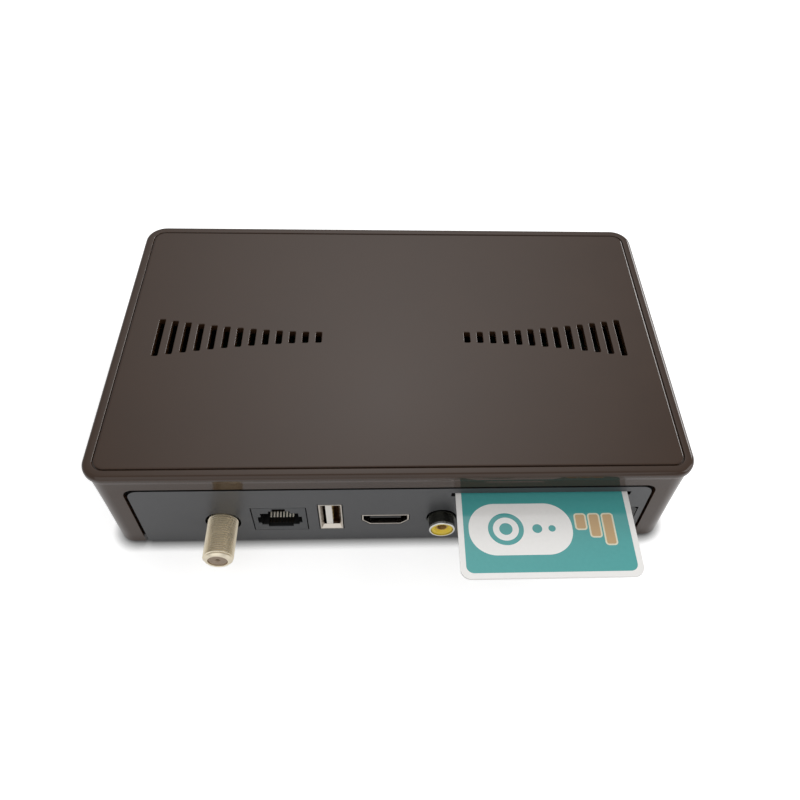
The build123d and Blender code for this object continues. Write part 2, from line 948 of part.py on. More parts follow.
def build_reader_frame():
    """Moulded guide: floor, two grooved rails, an end stop and a bridge at the mouth."""
    front, back = reader_limits()
    half = card_width / 2 + reader_play + reader_rail
    roof_z = card_z + card_thickness + reader_play
    frame = block((card_x - half, card_x + half), (front, back), (reader_z, roof_z + reader_roof))
    channel_half = card_width / 2 + reader_play
    channel = block(
        (card_x - channel_half, card_x + channel_half),
        (front + reader_stop, back + overshoot),
        (card_z - reader_play, roof_z),
    )
    open_half = channel_half - reader_lip
    open_top = block(
        (card_x - open_half, card_x + open_half),
        (front + reader_stop, back - reader_bridge),
        (roof_z - overshoot, roof_z + reader_roof + overshoot),
    )
    mouth_profile = Polyline(
        (back, card_z - reader_play - reader_funnel),
        (back, roof_z + reader_funnel),
        (back - reader_funnel, roof_z),
        (back - reader_funnel, card_z - reader_play),
        close=True,
    )
    mouth = Pos(card_x, 0, 0) * extrude(Plane.YZ * make_face(mouth_profile), channel_half, both=True)
    chip_x = card_x + card_width / 2 - chip_side
    chip_y = card_inner_y + chip_end
    window_half = chip_length / 2 + reader_window_margin
    window = block(
        (chip_x - contact_span, chip_x + contact_span),
        (chip_y - window_half, chip_y + window_half),
        (reader_z - overshoot, card_z),
    )
    return frame - channel - open_top - mouth - window


def build_reader_contacts():
    """Two rows of spring contacts that reach up under the card's contact plate."""
    middle_x = card_x + card_width / 2 - chip_side
    chip_y = card_inner_y + chip_end
    low = card_board_top()
    tip = card_z - contact_gap
    contacts = Part()
    for side in (-1, 1):
        outer = side * (contact_span - contact_thickness)
        inner = side * (contact_span - contact_length)
        thick = contact_thickness
        shape = Polyline(
            (outer, low),
            (outer, low + thick),
            (inner + side * thick, tip),
            (inner, tip),
            (inner - side * thick, tip - thick),
            (outer - side * contact_foot, low),
            close=True,
        )
        blade = extrude(Plane.XZ * make_face(shape), contact_width / 2, both=True)
        for index in range(contact_rows):
            y = chip_y + (index - (contact_rows - 1) / 2) * contact_pitch
            contacts += Pos(middle_x, y, 0) * blade
    return contacts


def card_board_top():
    """Upper face of the raised board under the reader."""
    return reader_z


def card_board_limits():
    """Edges of the raised board: x range, then y range."""
    half = card_width / 2 + reader_play + reader_rail + card_board_margin
    front, back = reader_limits()
    return (card_x - half, card_x + half), (front - card_board_overrun, back)


def spacer_places():
    """Four spacers between the main board and the raised board."""
    x, y = card_board_limits()
    xs = (x[0] + spacer_inset, x[1] - spacer_inset)
    ys = (y[0] + spacer_inset, y[1] - spacer_rear)
    return [(px, py) for px in xs for py in ys]


def build_card_board():
    """Raised board that carries the reader."""
    x, y = card_board_limits()
    low = card_board_top() - board_thickness
    board = block(x, y, (low, card_board_top()))
    for px, py in spacer_places():
        board -= bar(screw_radius + screw_fit, board_thickness, (px, py, low))
    return board


def build_spacers():
    """Hexagonal spacers with a threaded end that passes through the raised board."""
    low = card_board_top() - board_thickness
    height = low - board_top
    spacers = Part()
    for px, py in spacer_places():
        spacers += Pos(px, py, board_top) * extrude(RegularPolygon(spacer_radius, 6), height)
        spacers += bar(screw_radius, board_thickness, (px, py, low))
    return spacers


def link_place():
    """Middle of the pin row between the two boards."""
    x, y = card_board_limits()
    return (x[0] + x[1]) / 2, y[0] + spacer_inset


def link_pins(length, start):
    """Row of square pins from height start."""
    x, y = link_place()
    pins = Part()
    for index in range(link_pin_count):
        px = x + (index - (link_pin_count - 1) / 2) * link_pin_pitch
        half = link_pin_size / 2
        pins += block((px - half, px + half), (y - half, y + half), (start, start + length))
    return pins


def build_link_pins():
    """Pins that carry the reader's signals down to the main board."""
    return link_pins(card_board_top() - board_thickness - board_top, board_top)


def build_link_strips():
    """Plastic strips round both ends of the pins."""
    x, y = link_place()
    half = link_pin_count * link_pin_pitch / 2
    high = card_board_top() - board_thickness
    strips = Part()
    for low in (board_top, high - link_strip_size):
        strips += block(
            (x - half, x + half),
            (y - link_strip_size / 2, y + link_strip_size / 2),
            (low, low + link_strip_size),
        )
    return strips - link_pins(high - board_top, board_top)


def board_screw_places():
    """Four screws near the corners of the main board."""
    xs = (board_left + board_hole_inset, board_right - board_hole_inset)
    ys = (board_front + board_hole_inset, board_rear - board_hole_rear)
    return [(x, y) for x in xs for y in ys]


def build_main_board():
    """Circuit board on the tray's bosses."""
    board = block((board_left, board_right), (board_front, board_rear), (board_z, board_top))
    for x, y in board_screw_places():
        board -= bar(screw_radius + screw_hole_clearance, board_thickness, (x, y, board_z))
    return board


def screw(length):
    """Pan-head screw pointing down, with the underside of its head at the origin."""
    head = bar(head_radius, head_height, (0, 0, 0))
    head = chamfer(head.faces().sort_by(Axis.Z)[-1].edges(), head_edge)
    return head + bar(screw_radius, length, (0, 0, -length))


def build_board_screws():
    """Screws that hold the main board down."""
    screws = Part()
    for x, y in board_screw_places():
        screws += Pos(x, y, board_top) * screw(board_thickness + board_seat - board_screw_tip)
    return screws


def build_case_screws():
    """Screws driven up from below through the tray into the cover."""
    screws = Part()
    length = case_screw_grip + case_screw_web
    for x, y in corner_places(case_screw_side, case_screw_end):
        screws += Pos(x, y, post_top - case_screw_web) * Rot(X=180) * screw(length)
    return screws


def build_feet():
    """Rubber feet seated in recesses in the tray."""
    feet = Part()
    for x, y in corner_places(foot_side, foot_end):
        foot = bar(foot_radius, foot_height + foot_recess, (x, y, 0), foot_sides)
        feet += chamfer(foot.faces().sort_by(Axis.Z)[0].edges(), foot_edge)
    return feet


def build_processor():
    """Main chip on its carrier."""
    return on_board(processor_size, processor_size, processor_height, processor_x, processor_y)


def on_board(width, length, height, x, y, edge=0.0):
    """Rectangular component standing on the main board."""
    body = Pos(x, y, board_top + height / 2) * Box(width, length, height)
    if edge:
        body = chamfer(body.faces().sort_by(Axis.Z)[-1].edges(), edge)
    return body


def build_thermal_pad():
    """Soft pad between the main chip and the heatsink."""
    z = board_top + processor_height
    pad = Pos(processor_x, processor_y, z) * Rectangle(processor_size, processor_size)
    return extrude(pad, pad_thickness)


def build_heatsink():
    """Extruded comb of fins on the main chip."""
    half = heatsink_size / 2
    low = board_top + processor_height + pad_thickness
    comb = Rectangle(heatsink_size, heatsink_base, align=(Align.CENTER, Align.MIN))
    for index in range(heatsink_fins):
        x = (index / (heatsink_fins - 1) - 0.5) * (heatsink_size - heatsink_fin)
        comb += Pos(x, 0) * Rectangle(heatsink_fin, heatsink_height, align=(Align.CENTER, Align.MIN))
    return through_y(comb, (processor_x, processor_y + half, low), heatsink_size)


def build_memory():
    """Two memory chips beside the main chip."""
    chips = Part()
    for side in (-1, 1):
        x = processor_x + side * (processor_size / 2 + memory_gap + memory_width / 2)
        chips += on_board(memory_width, memory_length, memory_height, x, processor_y)
    return chips


def build_flash():
    """Program memory in front of the main chip."""
    y = board_front + flash_size
    return on_board(flash_size, flash_size, flash_height, processor_x - processor_size, y, chip_edge)


def supply_place(index, pitch, row):
    """Places of the supply's components, in rows along the left of the board."""
    return board_left + supply_side + index * pitch, board_front + row


def build_capacitors():
    """Row of electrolytic capacitors."""
    cans = Part()
    for index in range(can_count):
        can = bar(can_radius, can_height, (*supply_place(index, can_pitch, can_row), board_top))
        cans += chamfer(can.faces().sort_by(Axis.Z)[-1].edges(), can_edge)
    return cans


def build_chokes():
    """Shielded power inductors."""
    chokes = Part()
    for index in range(choke_count):
        body = on_board(choke_size, choke_size, choke_height, *supply_place(index, choke_pitch, choke_row))
        chokes += chamfer(body.edges().filter_by(Axis.Z), choke_corner)
    return chokes


def build_crystal():
    """Clock crystal in its metal can."""
    y = processor_y - processor_size / 2 - memory_gap
    can = on_board(crystal_length, crystal_width, crystal_height, processor_x, y)
    return chamfer(can.edges().filter_by(Axis.Z), crystal_corner)


def build_magnetics():
    """Network transformer behind the network socket."""
    y = rear_y - setback(board_top) - network_depth - magnetics_gap - magnetics_length / 2
    return on_board(magnetics_width, magnetics_length, magnetics_height, network_x, y, chip_edge)


def window_prism(grow, inward):
    """Straight prism of the window's outline, grown by grow, reaching inward from the front."""
    outline = RectangleRounded(window_width + 2 * grow, window_height + 2 * grow, window_corner)
    return through_y(outline, (window_x, front_y + inward, window_z), inward + overshoot)


def button_places():
    """Name and place along the panel of each front button."""
    standby_x = panel_half - standby_side
    return {
        "standby": standby_x,
        "channel_up": standby_x - channel_pitch,
        "channel_down": standby_x - channel_pitch - channel_spacing,
    }


def button_outline(name, grow=0.0):
    """Outline of a button's cap, grown by grow: round for standby, bevelled for the channels."""
    if name == "standby":
        return Circle(standby_radius + grow)
    return chamfer(Rectangle(channel_width + 2 * grow, channel_height + 2 * grow).vertices(), channel_corner)


def build_front_panel():
    """End panel with the window's recess and the openings for the buttons."""
    panel = build_end_panel(-1)
    deep = panel_stack + setback(underside_z) + overshoot
    recess = (envelope(0) - envelope(window_thickness)) & window_prism(0, deep)
    panel -= recess
    panel -= window_prism(-window_seat, deep)
    for name, x in button_places().items():
        hole = button_outline(name, button_clearance)
        panel -= through_y(hole, (x, front_y + deep, window_z), deep + overshoot)
    return panel


def build_window():
    """Smoked window that lies in the front panel's recess, flush with its face."""
    deep = panel_stack + setback(underside_z)
    return (envelope(0) - envelope(window_thickness)) & window_prism(-window_clearance, deep)


def plunger_tip():
    """Front end of the switch plungers."""
    return front_board_y - switch_height - plunger_proud


def build_button(name):
    """Cap, retaining flange behind the panel and stem on the switch."""
    x = button_places()[name]
    outline = button_outline(name)
    face = front_y + setback(window_z) - button_proud
    flange_y = inner_front + button_rest_gap
    cap = through_y(outline, (x, flange_y, window_z), flange_y - face)
    cap = chamfer(cap.faces().sort_by(Axis.Y)[0].edges(), button_crown)
    size = outline.bounding_box().size
    lap = 2 * (button_clearance + button_flange_lap)
    flange = through_y(
        Rectangle(size.X + lap, size.Y + lap), (x, flange_y + button_flange, window_z), button_flange
    )
    stem_length = plunger_tip() - flange_y - button_flange
    stem = through_y(
        RegularPolygon(button_stem_radius, small_sides), (x, plunger_tip(), window_z), stem_length
    )
    return cap + flange + stem


def build_plunger(name):
    """Plunger of the switch behind one button."""
    x = button_places()[name]
    inner_end = front_board_y - switch_height + plunger_depth
    outline = RegularPolygon(plunger_radius, small_sides)
    return through_y(outline, (x, inner_end, window_z), plunger_depth + plunger_proud)


def build_switches():
    """Bodies of the three push switches, bored for their plungers."""
    bodies = Part()
    for x in button_places().values():
        body = through_y(Rectangle(switch_size, switch_size), (x, front_board_y, window_z), switch_height)
        bore = plunger_depth + button_travel + plunger_end_gap
        start = front_board_y - switch_height + bore
        bodies += body - through_y(
            RegularPolygon(switch_bore_radius, small_sides), (x, start, window_z), bore + overshoot
        )
    return bodies


def build_front_board():
    """Upright board behind the front panel."""
    left, right = front_board_limits()
    y = (front_board_y, front_board_y + board_thickness)
    return block((left, right), y, (floor_z + front_board_seat, front_board_top))


def on_front_board(outline, x, z, thickness):
    """Component that stands forwards from the front board."""
    return through_y(outline, (x, front_board_y, z), thickness)


def build_display():
    """Four-digit display behind the window."""
    return on_front_board(Rectangle(display_width, display_height), window_x, window_z, display_thickness)


def build_infrared_receiver():
    """Remote-control receiver with its lens."""
    x = window_x + infrared_offset
    body = on_front_board(Rectangle(infrared_size, infrared_size), x, window_z, infrared_thickness)
    outline = RegularPolygon(infrared_lens_radius, small_sides)
    lens = through_y(outline, (x, front_board_y - infrared_thickness, window_z), infrared_lens_height)
    return body + chamfer(lens.faces().sort_by(Axis.Y)[0].edges(), infrared_lens_edge)


def build_status_light():
    """Small indicator behind the window."""
    x = window_x + led_offset
    stem = on_front_board(RegularPolygon(led_radius, small_sides), x, window_z, led_height)
    return chamfer(stem.faces().sort_by(Axis.Y)[0].edges(), led_edge)


def build_header():
    """Right-angled strip that joins the front board to the main board."""
    half = header_pin_count * link_pin_pitch / 2
    y = (front_board_y + board_thickness, board_front + header_reach)
    return block((processor_x - half, processor_x + half), y, (board_top, board_top + link_strip_size))


def main():
    os.makedirs("parts", exist_ok=True)
    nodes = {
        "top_cover": build_top_cover(),
        "base_tray": build_tray(),
        "rear_panel": build_rear_panel(),
        "front_panel": build_front_panel(),
        "display_window": build_window(),
        "rubber_feet": build_feet(),
        "case_screws": build_case_screws(),
        "main_board": build_main_board(),
        "board_screws": build_board_screws(),
        "tuner_can": build_tuner_can(),
        "antenna_connector": build_antenna_connector(),
        "antenna_insulator": build_antenna_insulator(),
        "antenna_contact": build_antenna_contact(),
        "network_socket": build_network_socket(),
        "network_contacts": build_network_contacts(),
        "network_transformer": build_magnetics(),
        "data_port_shell": build_data_shell(),
        "data_port_insert": build_data_insert(),
        "data_port_contacts": build_data_contacts(),
        "video_socket_shell": build_video_shell(),
        "video_socket_insert": build_video_insert(),
        "phono_jack_body": build_phono_body(),
        "phono_jack_barrel": build_phono_barrel(),
        "phono_jack_insulator": build_phono_insulator(),
        "phono_jack_contact": build_phono_contact(),
        "power_jack": build_power_jack(),
        "power_jack_pin": build_power_pin(),
        "smart_card": build_card(),
        "card_chip_plate": build_chip_plate(),
        "card_reader_frame": build_reader_frame(),
        "card_reader_contacts": build_reader_contacts(),
        "card_reader_board": build_card_board(),
        "board_spacers": build_spacers(),
        "board_link_pins": build_link_pins(),
        "board_link_strips": build_link_strips(),
        "processor": build_processor(),
        "thermal_pad": build_thermal_pad(),
        "heatsink": build_heatsink(),
        "memory_chips": build_memory(),
        "flash_chip": build_flash(),
        "capacitors": build_capacitors(),
        "power_chokes": build_chokes(),
        "clock_crystal": build_crystal(),
        "front_board": build_front_board(),
        "front_board_header": build_header(),
        "display_module": build_display(),
        "infrared_receiver": build_infrared_receiver(),
        "status_light": build_status_light(),
        "push_switches": build_switches(),
    }
    for name in button_places():
        nodes[f"{name}_button"] = build_button(name)
        nodes[f"{name}_plunger"] = build_plunger(name)
    for name, shape in nodes.items():
        export_step(shape, f"parts/{name}.step")


main()
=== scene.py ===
import math

import bmesh
import bpy
from mathutils import Matrix, Vector


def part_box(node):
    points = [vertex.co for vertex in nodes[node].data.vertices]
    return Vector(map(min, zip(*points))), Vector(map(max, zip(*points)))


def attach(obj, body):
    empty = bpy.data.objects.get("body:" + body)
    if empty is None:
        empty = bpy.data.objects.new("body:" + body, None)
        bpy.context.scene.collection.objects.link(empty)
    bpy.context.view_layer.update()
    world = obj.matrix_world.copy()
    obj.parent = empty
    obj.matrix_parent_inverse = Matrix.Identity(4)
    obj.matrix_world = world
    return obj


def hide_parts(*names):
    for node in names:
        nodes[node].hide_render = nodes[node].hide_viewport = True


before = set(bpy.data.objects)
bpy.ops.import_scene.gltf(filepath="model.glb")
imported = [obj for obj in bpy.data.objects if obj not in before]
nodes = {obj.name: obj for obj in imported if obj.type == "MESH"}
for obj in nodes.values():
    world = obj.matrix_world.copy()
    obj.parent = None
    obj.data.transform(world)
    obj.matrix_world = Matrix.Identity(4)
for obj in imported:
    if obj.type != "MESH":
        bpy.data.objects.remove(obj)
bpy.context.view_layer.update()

mm = 0.001

# ---------------------------------------------------------------- base tray
# The tray is a flat injection moulding in dark grey plastic with a fine sparked texture.
# It closes the case from below and carries the boards on its bosses.


def new_material(name):
    """An empty node material with its tree and its principled shader."""
    material = bpy.data.materials.new(name)
    material.use_nodes = True
    return material, material.node_tree, material.node_tree.nodes["Principled BSDF"]


def object_coordinates(tree, centre=(0, 0, 0)):
    """Coordinates of the object in metres, measured from a centre."""
    source = tree.nodes.new("ShaderNodeTexCoord")
    mapping = tree.nodes.new("ShaderNodeMapping")
    mapping.vector_type = "TEXTURE"
    mapping.inputs["Location"].default_value = centre
    tree.links.new(source.outputs["Object"], mapping.inputs["Vector"])
    return mapping.outputs["Vector"]


def group_socket(group, name, kind, direction, value=None):
    """One named input or output on a node group."""
    socket = group.interface.new_socket(name=name, in_out=direction, socket_type=kind)
    if value is not None:
        socket.default_value = value


def math_node(tree, operation, first, second=None, third=None):
    """A math node whose inputs are sockets or plain numbers."""
    node = tree.nodes.new("ShaderNodeMath")
    node.operation = operation
    for index, value in enumerate((first, second, third)):
        if isinstance(value, (int, float)):
            node.inputs[index].default_value = value
        elif value is not None:
            tree.links.new(value, node.inputs[index])
    return node.outputs[0]


def build_surface_group():
    """Fine grain over slow patches: colour, roughness and height of a moulded or plated skin."""
    group = bpy.data.node_groups.new("moulded_surface", "ShaderNodeTree")
    group_socket(group, "Vector", "NodeSocketVector", "INPUT")
    group_socket(group, "Colour", "NodeSocketColor", "INPUT", (0.05, 0.05, 0.05, 1))
    group_socket(group, "Tint", "NodeSocketFloat", "INPUT", 0.1)
    group_socket(group, "Roughness", "NodeSocketFloat", "INPUT", 0.4)
    group_socket(group, "Variation", "NodeSocketFloat", "INPUT", 0.1)
    group_socket(group, "Grain scale", "NodeSocketFloat", "INPUT", 4000.0)
    group_socket(group, "Patch scale", "NodeSocketFloat", "INPUT", 60.0)
    group_socket(group, "Colour", "NodeSocketColor", "OUTPUT")
    group_socket(group, "Roughness", "NodeSocketFloat", "OUTPUT")
    group_socket(group, "Height", "NodeSocketFloat", "OUTPUT")
    inside = group.nodes.new("NodeGroupInput")
    outside = group.nodes.new("NodeGroupOutput")
    grain = group.nodes.new("ShaderNodeTexNoise")
    grain.inputs["Detail"].default_value = 2.0
    patch = group.nodes.new("ShaderNodeTexNoise")
    patch.inputs["Detail"].default_value = 3.0
    link = group.links.new
    link(inside.outputs["Vector"], grain.inputs["Vector"])
    link(inside.outputs["Vector"], patch.inputs["Vector"])
    link(inside.outputs["Grain scale"], grain.inputs["Scale"])
    link(inside.outputs["Patch scale"], patch.inputs["Scale"])
    centred = math_node(group, "SUBTRACT", patch.outputs["Fac"], 0.5)
    variation, roughness = inside.outputs["Variation"], inside.outputs["Roughness"]
    rough = math_node(group, "MULTIPLY_ADD", centred, variation, roughness)
    shade = math_node(group, "MULTIPLY_ADD", centred, inside.outputs["Tint"], 1.0)
    tint = group.nodes.new("ShaderNodeVectorMath")
    tint.operation = "SCALE"
    link(inside.outputs["Colour"], tint.inputs[0])
    link(shade, tint.inputs["Scale"])
    link(tint.outputs["Vector"], outside.inputs["Colour"])
    link(rough, outside.inputs["Roughness"])
    link(grain.outputs["Fac"], outside.inputs["Height"])
    return group


surface_group = build_surface_group()


def skin(
    name,
    colour,
    roughness,
    tint=0.2,
    variation=0.12,
    grain=4000.0,
    depth=0.02 * mm,
    patch=60.0,
    metal=0.0,
):
    """A moulded, plated or coated finish made with the shared surface group."""
    material, tree, shader = new_material(name)
    surface = tree.nodes.new("ShaderNodeGroup")
    surface.node_tree = surface_group
    surface.inputs["Colour"].default_value = (*colour, 1)
    surface.inputs["Tint"].default_value = tint
    surface.inputs["Roughness"].default_value = roughness
    surface.inputs["Variation"].default_value = variation
    surface.inputs["Grain scale"].default_value = grain
    surface.inputs["Patch scale"].default_value = patch
    bump = tree.nodes.new("ShaderNodeBump")
    bump.inputs["Strength"].default_value = 0.5
    bump.inputs["Distance"].default_value = depth
    link = tree.links.new
    link(object_coordinates(tree), surface.inputs["Vector"])
    link(surface.outputs["Colour"], shader.inputs["Base Color"])
    link(surface.outputs["Roughness"], shader.inputs["Roughness"])
    link(surface.outputs["Height"], bump.inputs["Height"])
    link(bump.outputs["Normal"], shader.inputs["Normal"])
    shader.inputs["Metallic"].default_value = metal
    return material


def dress(material, *names):
    """Puts one finish on CAD nodes."""
    for name in names:
        slots = nodes[name].data.materials
        slots.clear()
        slots.append(material)


tray_plastic = skin("tray_plastic", (0.018, 0.018, 0.019), 0.55, grain=2600.0, depth=0.05 * mm)
dress(tray_plastic, "base_tray")

# ---------------------------------------------------------------- rubber feet
# Four round feet of black rubber, moulded with a soft edge and a shallow dish underneath.
# Each one is pressed and glued into a recess of the tray.


def corner_places(name, margin, z):
    """The four corners of a node's box, moved in by a margin, at one height."""
    low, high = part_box(name)
    across, along = (low.x + margin, high.x - margin), (low.y + margin, high.y - margin)
    return [(x, y, z) for x in across for y in along]


def draw_line(name, points):
    """A line through a few points, drawn by extruding one vertex and left open in edit mode."""
    bpy.ops.object.select_all(action="DESELECT")
    bpy.ops.mesh.primitive_plane_add(size=mm)
    piece = bpy.context.object
    piece.name = name
    bpy.ops.object.mode_set(mode="EDIT")
    bpy.ops.mesh.select_mode(type="VERT")
    bpy.ops.mesh.select_all(action="SELECT")
    bpy.ops.mesh.merge(type="CENTER")
    bpy.ops.transform.translate(value=points[0])
    for here, there in zip(points, points[1:]):
        bpy.ops.mesh.extrude_region_move(TRANSFORM_OT_translate={"value": Vector(there) - Vector(here)})
    return piece


def close_solid():
    """Merges doubled vertices and turns every face outwards, then leaves edit mode."""
    bpy.ops.mesh.select_all(action="SELECT")
    bpy.ops.mesh.remove_doubles(threshold=0.002 * mm)
    bpy.ops.mesh.normals_make_consistent(inside=False)
    bpy.ops.object.mode_set(mode="OBJECT")


def turned(name, outline, centre=(0, 0, 0), axis="Z", steps=48):
    """A lathe-turned solid: closed outline of (radius, distance) points spun about an axis."""
    along = Vector((0, 0, 1)) if axis == "Z" else Vector((0, 1, 0))
    origin = Vector(centre)
    points = [origin + Vector((radius, 0, 0)) + along * distance for radius, distance in outline]
    piece = draw_line(name, points + points[:1])
    bpy.ops.mesh.select_all(action="SELECT")
    bpy.ops.mesh.spin(steps=steps, angle=2 * math.pi, center=centre, axis=along)
    close_solid()
    return piece


def arc(centre, radius, start, end, count=5):
    """Points on an arc, as (radius, distance) pairs, between two angles in degrees."""
    turns = [math.radians(start + (end - start) * index / count) for index in range(count + 1)]
    across, along = centre
    return [(across + radius * math.cos(turn), along + radius * math.sin(turn)) for turn in turns]


def copies(piece, places, turn=Matrix.Identity(4)):
    """The modelled piece turned and set at each place, with all copies joined into one object."""
    bpy.ops.object.select_all(action="DESELECT")
    for place in places:
        twin = piece.copy()
        twin.data = piece.data.copy()
        twin.data.transform(Matrix.Translation(place) @ turn)
        bpy.context.collection.objects.link(twin)
        twin.select_set(True)
        bpy.context.view_layer.objects.active = twin
    name = piece.name
    bpy.data.objects.remove(piece)
    bpy.ops.object.join()
    group = bpy.context.object
    group.name = name
    return group


def finish_piece(piece, body, material, slot, *replaced):
    """Ends a piece: shading, finish, body and the nodes it stands for. The slot argument is not used."""
    sharp_edge = math.radians(35)
    bpy.ops.object.select_all(action="DESELECT")
    piece.select_set(True)
    bpy.context.view_layer.objects.active = piece
    bpy.ops.object.shade_smooth_by_angle(angle=sharp_edge)
    piece.data.materials.clear()
    piece.data.materials.append(material)
    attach(piece, body)
    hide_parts(*replaced)


foot_rubber = skin("foot_rubber", (0.012, 0.012, 0.012), 0.7, grain=1800.0, depth=0.06 * mm)
foot_radius = 6.0 * mm
foot_edge = 0.6 * mm
foot_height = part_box("rubber_feet")[1].z
dish_radius = 3.6 * mm
dish_depth = 0.3 * mm
foot_outline = [
    (0, dish_depth),
    (dish_radius - dish_depth, dish_depth),
    (dish_radius, 0),
    *arc((foot_radius - foot_edge, foot_edge), foot_edge, -90, 0),
    (foot_radius, foot_height),
    (0, foot_height),
]
feet = copies(turned("round_feet", foot_outline), corner_places("rubber_feet", foot_radius, 0))
finish_piece(feet, "receiver", foot_rubber, "foot_rubber", "rubber_feet")

# ---------------------------------------------------------------- screws
# Zinc-plated pan-head screws for plastic: a rolled coarse thread, a domed head and a cross
# recess. Four hold the case from below and four hold the main board on the tray.


def new_block(name, low, high):
    """A box between two corners with its place in its mesh, open in edit mode with nothing chosen."""
    low, high = Vector(low), Vector(high)
    bpy.ops.object.select_all(action="DESELECT")
    bpy.ops.mesh.primitive_cube_add(size=1, location=(low + high) / 2, scale=high - low)
    piece = bpy.context.object
    piece.name = name
    bpy.ops.object.transform_apply(location=True, rotation=True, scale=True)
    bpy.ops.object.mode_set(mode="EDIT")
    bpy.ops.mesh.select_all(action="DESELECT")
    return piece


def combine(piece, tool, operation):
    """Cuts, joins or trims a piece with another solid, which is used up."""
    bpy.ops.object.select_all(action="DESELECT")
    piece.select_set(True)
    bpy.context.view_layer.objects.active = piece
    change = piece.modifiers.new("combine", "BOOLEAN")
    change.operation = operation
    change.solver = "EXACT"
    change.object = tool
    bpy.ops.object.modifier_apply(modifier=change.name)
    bpy.data.objects.remove(tool)


def thread(name, crest, root, pitch, low, high, steps=24):
    """A threaded bar along Z: one pitch of its profile, swept by a screw past both ends.

    Each flank of the profile rises between two shares of the pitch.
    """
    flank_foot, flank_top = 0.15, 0.45
    lead_in = 2
    weld = 0.001 * mm
    profile = [
        (root, 0),
        (root, flank_foot),
        (crest, flank_top),
        (crest, 1 - flank_top),
        (root, 1 - flank_foot),
        (root, 1),
    ]
    points = [Vector((radius, 0, low + (share - lead_in) * pitch)) for radius, share in profile]
    piece = draw_line(name, points)
    bpy.ops.object.mode_set(mode="OBJECT")
    sweep = piece.modifiers.new("sweep", "SCREW")
    sweep.axis = "Z"
    sweep.angle = 2 * math.pi
    sweep.screw_offset = pitch
    sweep.iterations = round((high - low) / pitch) + lead_in + 1
    sweep.steps = steps
    sweep.render_steps = steps
    sweep.use_merge_vertices = True
    sweep.merge_threshold = weld
    bpy.ops.object.modifier_apply(modifier=sweep.name)
    bpy.ops.object.mode_set(mode="EDIT")
    bpy.ops.mesh.select_all(action="SELECT")
    bpy.ops.mesh.remove_doubles(threshold=weld)
    bpy.ops.mesh.fill_holes(sides=0)
    bpy.ops.mesh.normals_make_consistent(inside=False)
    bpy.ops.object.mode_set(mode="OBJECT")
    return piece


zinc_steel = skin("zinc_steel", (0.55, 0.56, 0.58), 0.34, grain=3000.0, depth=0.01 * mm, metal=1.0)
screw_radius = 1.4 * mm
screw_core = 1.05 * mm
screw_pitch = 1.0 * mm
screw_point = 0.5 * mm
head_radius = 2.6 * mm
head_height = 1.8 * mm
head_crown = 0.8 * mm
cross_width = 0.55 * mm
cross_length = 2.9 * mm
cross_depth = 1.1 * mm


def pan_screw(name, length):
    """A pan-head screw that points down, with the underside of its head at the origin."""
    body = thread(name, screw_radius, screw_core, screw_pitch, -length, 0)
    envelope = turned(
        "envelope",
        [(0, -length), (screw_core - screw_point / 2, -length), (screw_radius, -length + screw_point),
         (screw_radius, -screw_pitch / 4), (0, -screw_pitch / 4)],
    )
    combine(body, envelope, "INTERSECT")
    head = turned(
        "head",
        [(0, -screw_pitch / 2), (screw_core, -screw_pitch / 2), (screw_core, 0), (head_radius, 0),
         (head_radius, head_height - head_crown),
         *arc((head_radius - head_crown, head_height - head_crown), head_crown, 0, 90),
         (0, head_height)],
    )
    combine(body, head, "UNION")
    for turn in (0, math.pi / 2):
        slot = new_block(
            "slot",
            (-cross_length / 2, -cross_width / 2, head_height - cross_depth),
            (cross_length / 2, cross_width / 2, head_height + cross_depth),
        )
        bpy.ops.mesh.select_all(action="SELECT")
        bpy.ops.transform.rotate(value=turn, orient_axis="Z", center_override=(0, 0, 0))
        close_solid()
        combine(body, slot, "DIFFERENCE")
    return body


case_low, case_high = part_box("case_screws")
case_seat = case_low.z + head_height
case_screws = copies(
    pan_screw("tapping_screws", case_high.z - case_seat),
    corner_places("case_screws", head_radius, case_seat),
    Matrix.Rotation(math.pi, 4, "X"),
)
finish_piece(case_screws, "receiver", zinc_steel, "zinc_steel", "case_screws")
board_low, board_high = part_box("board_screws")
board_seat = board_high.z - head_height
board_screws = copies(
    pan_screw("holding_screws", board_seat - board_low.z),
    corner_places("board_screws", head_radius, board_seat),
)
finish_piece(board_screws, "receiver", zinc_steel, "zinc_steel", "board_screws")

# ---------------------------------------------------------------- circuit boards
# Glass-fibre boards under a green solder mask, which lies a little higher over the copper
# tracks. The main board carries the sockets, and the front board carries the keys.


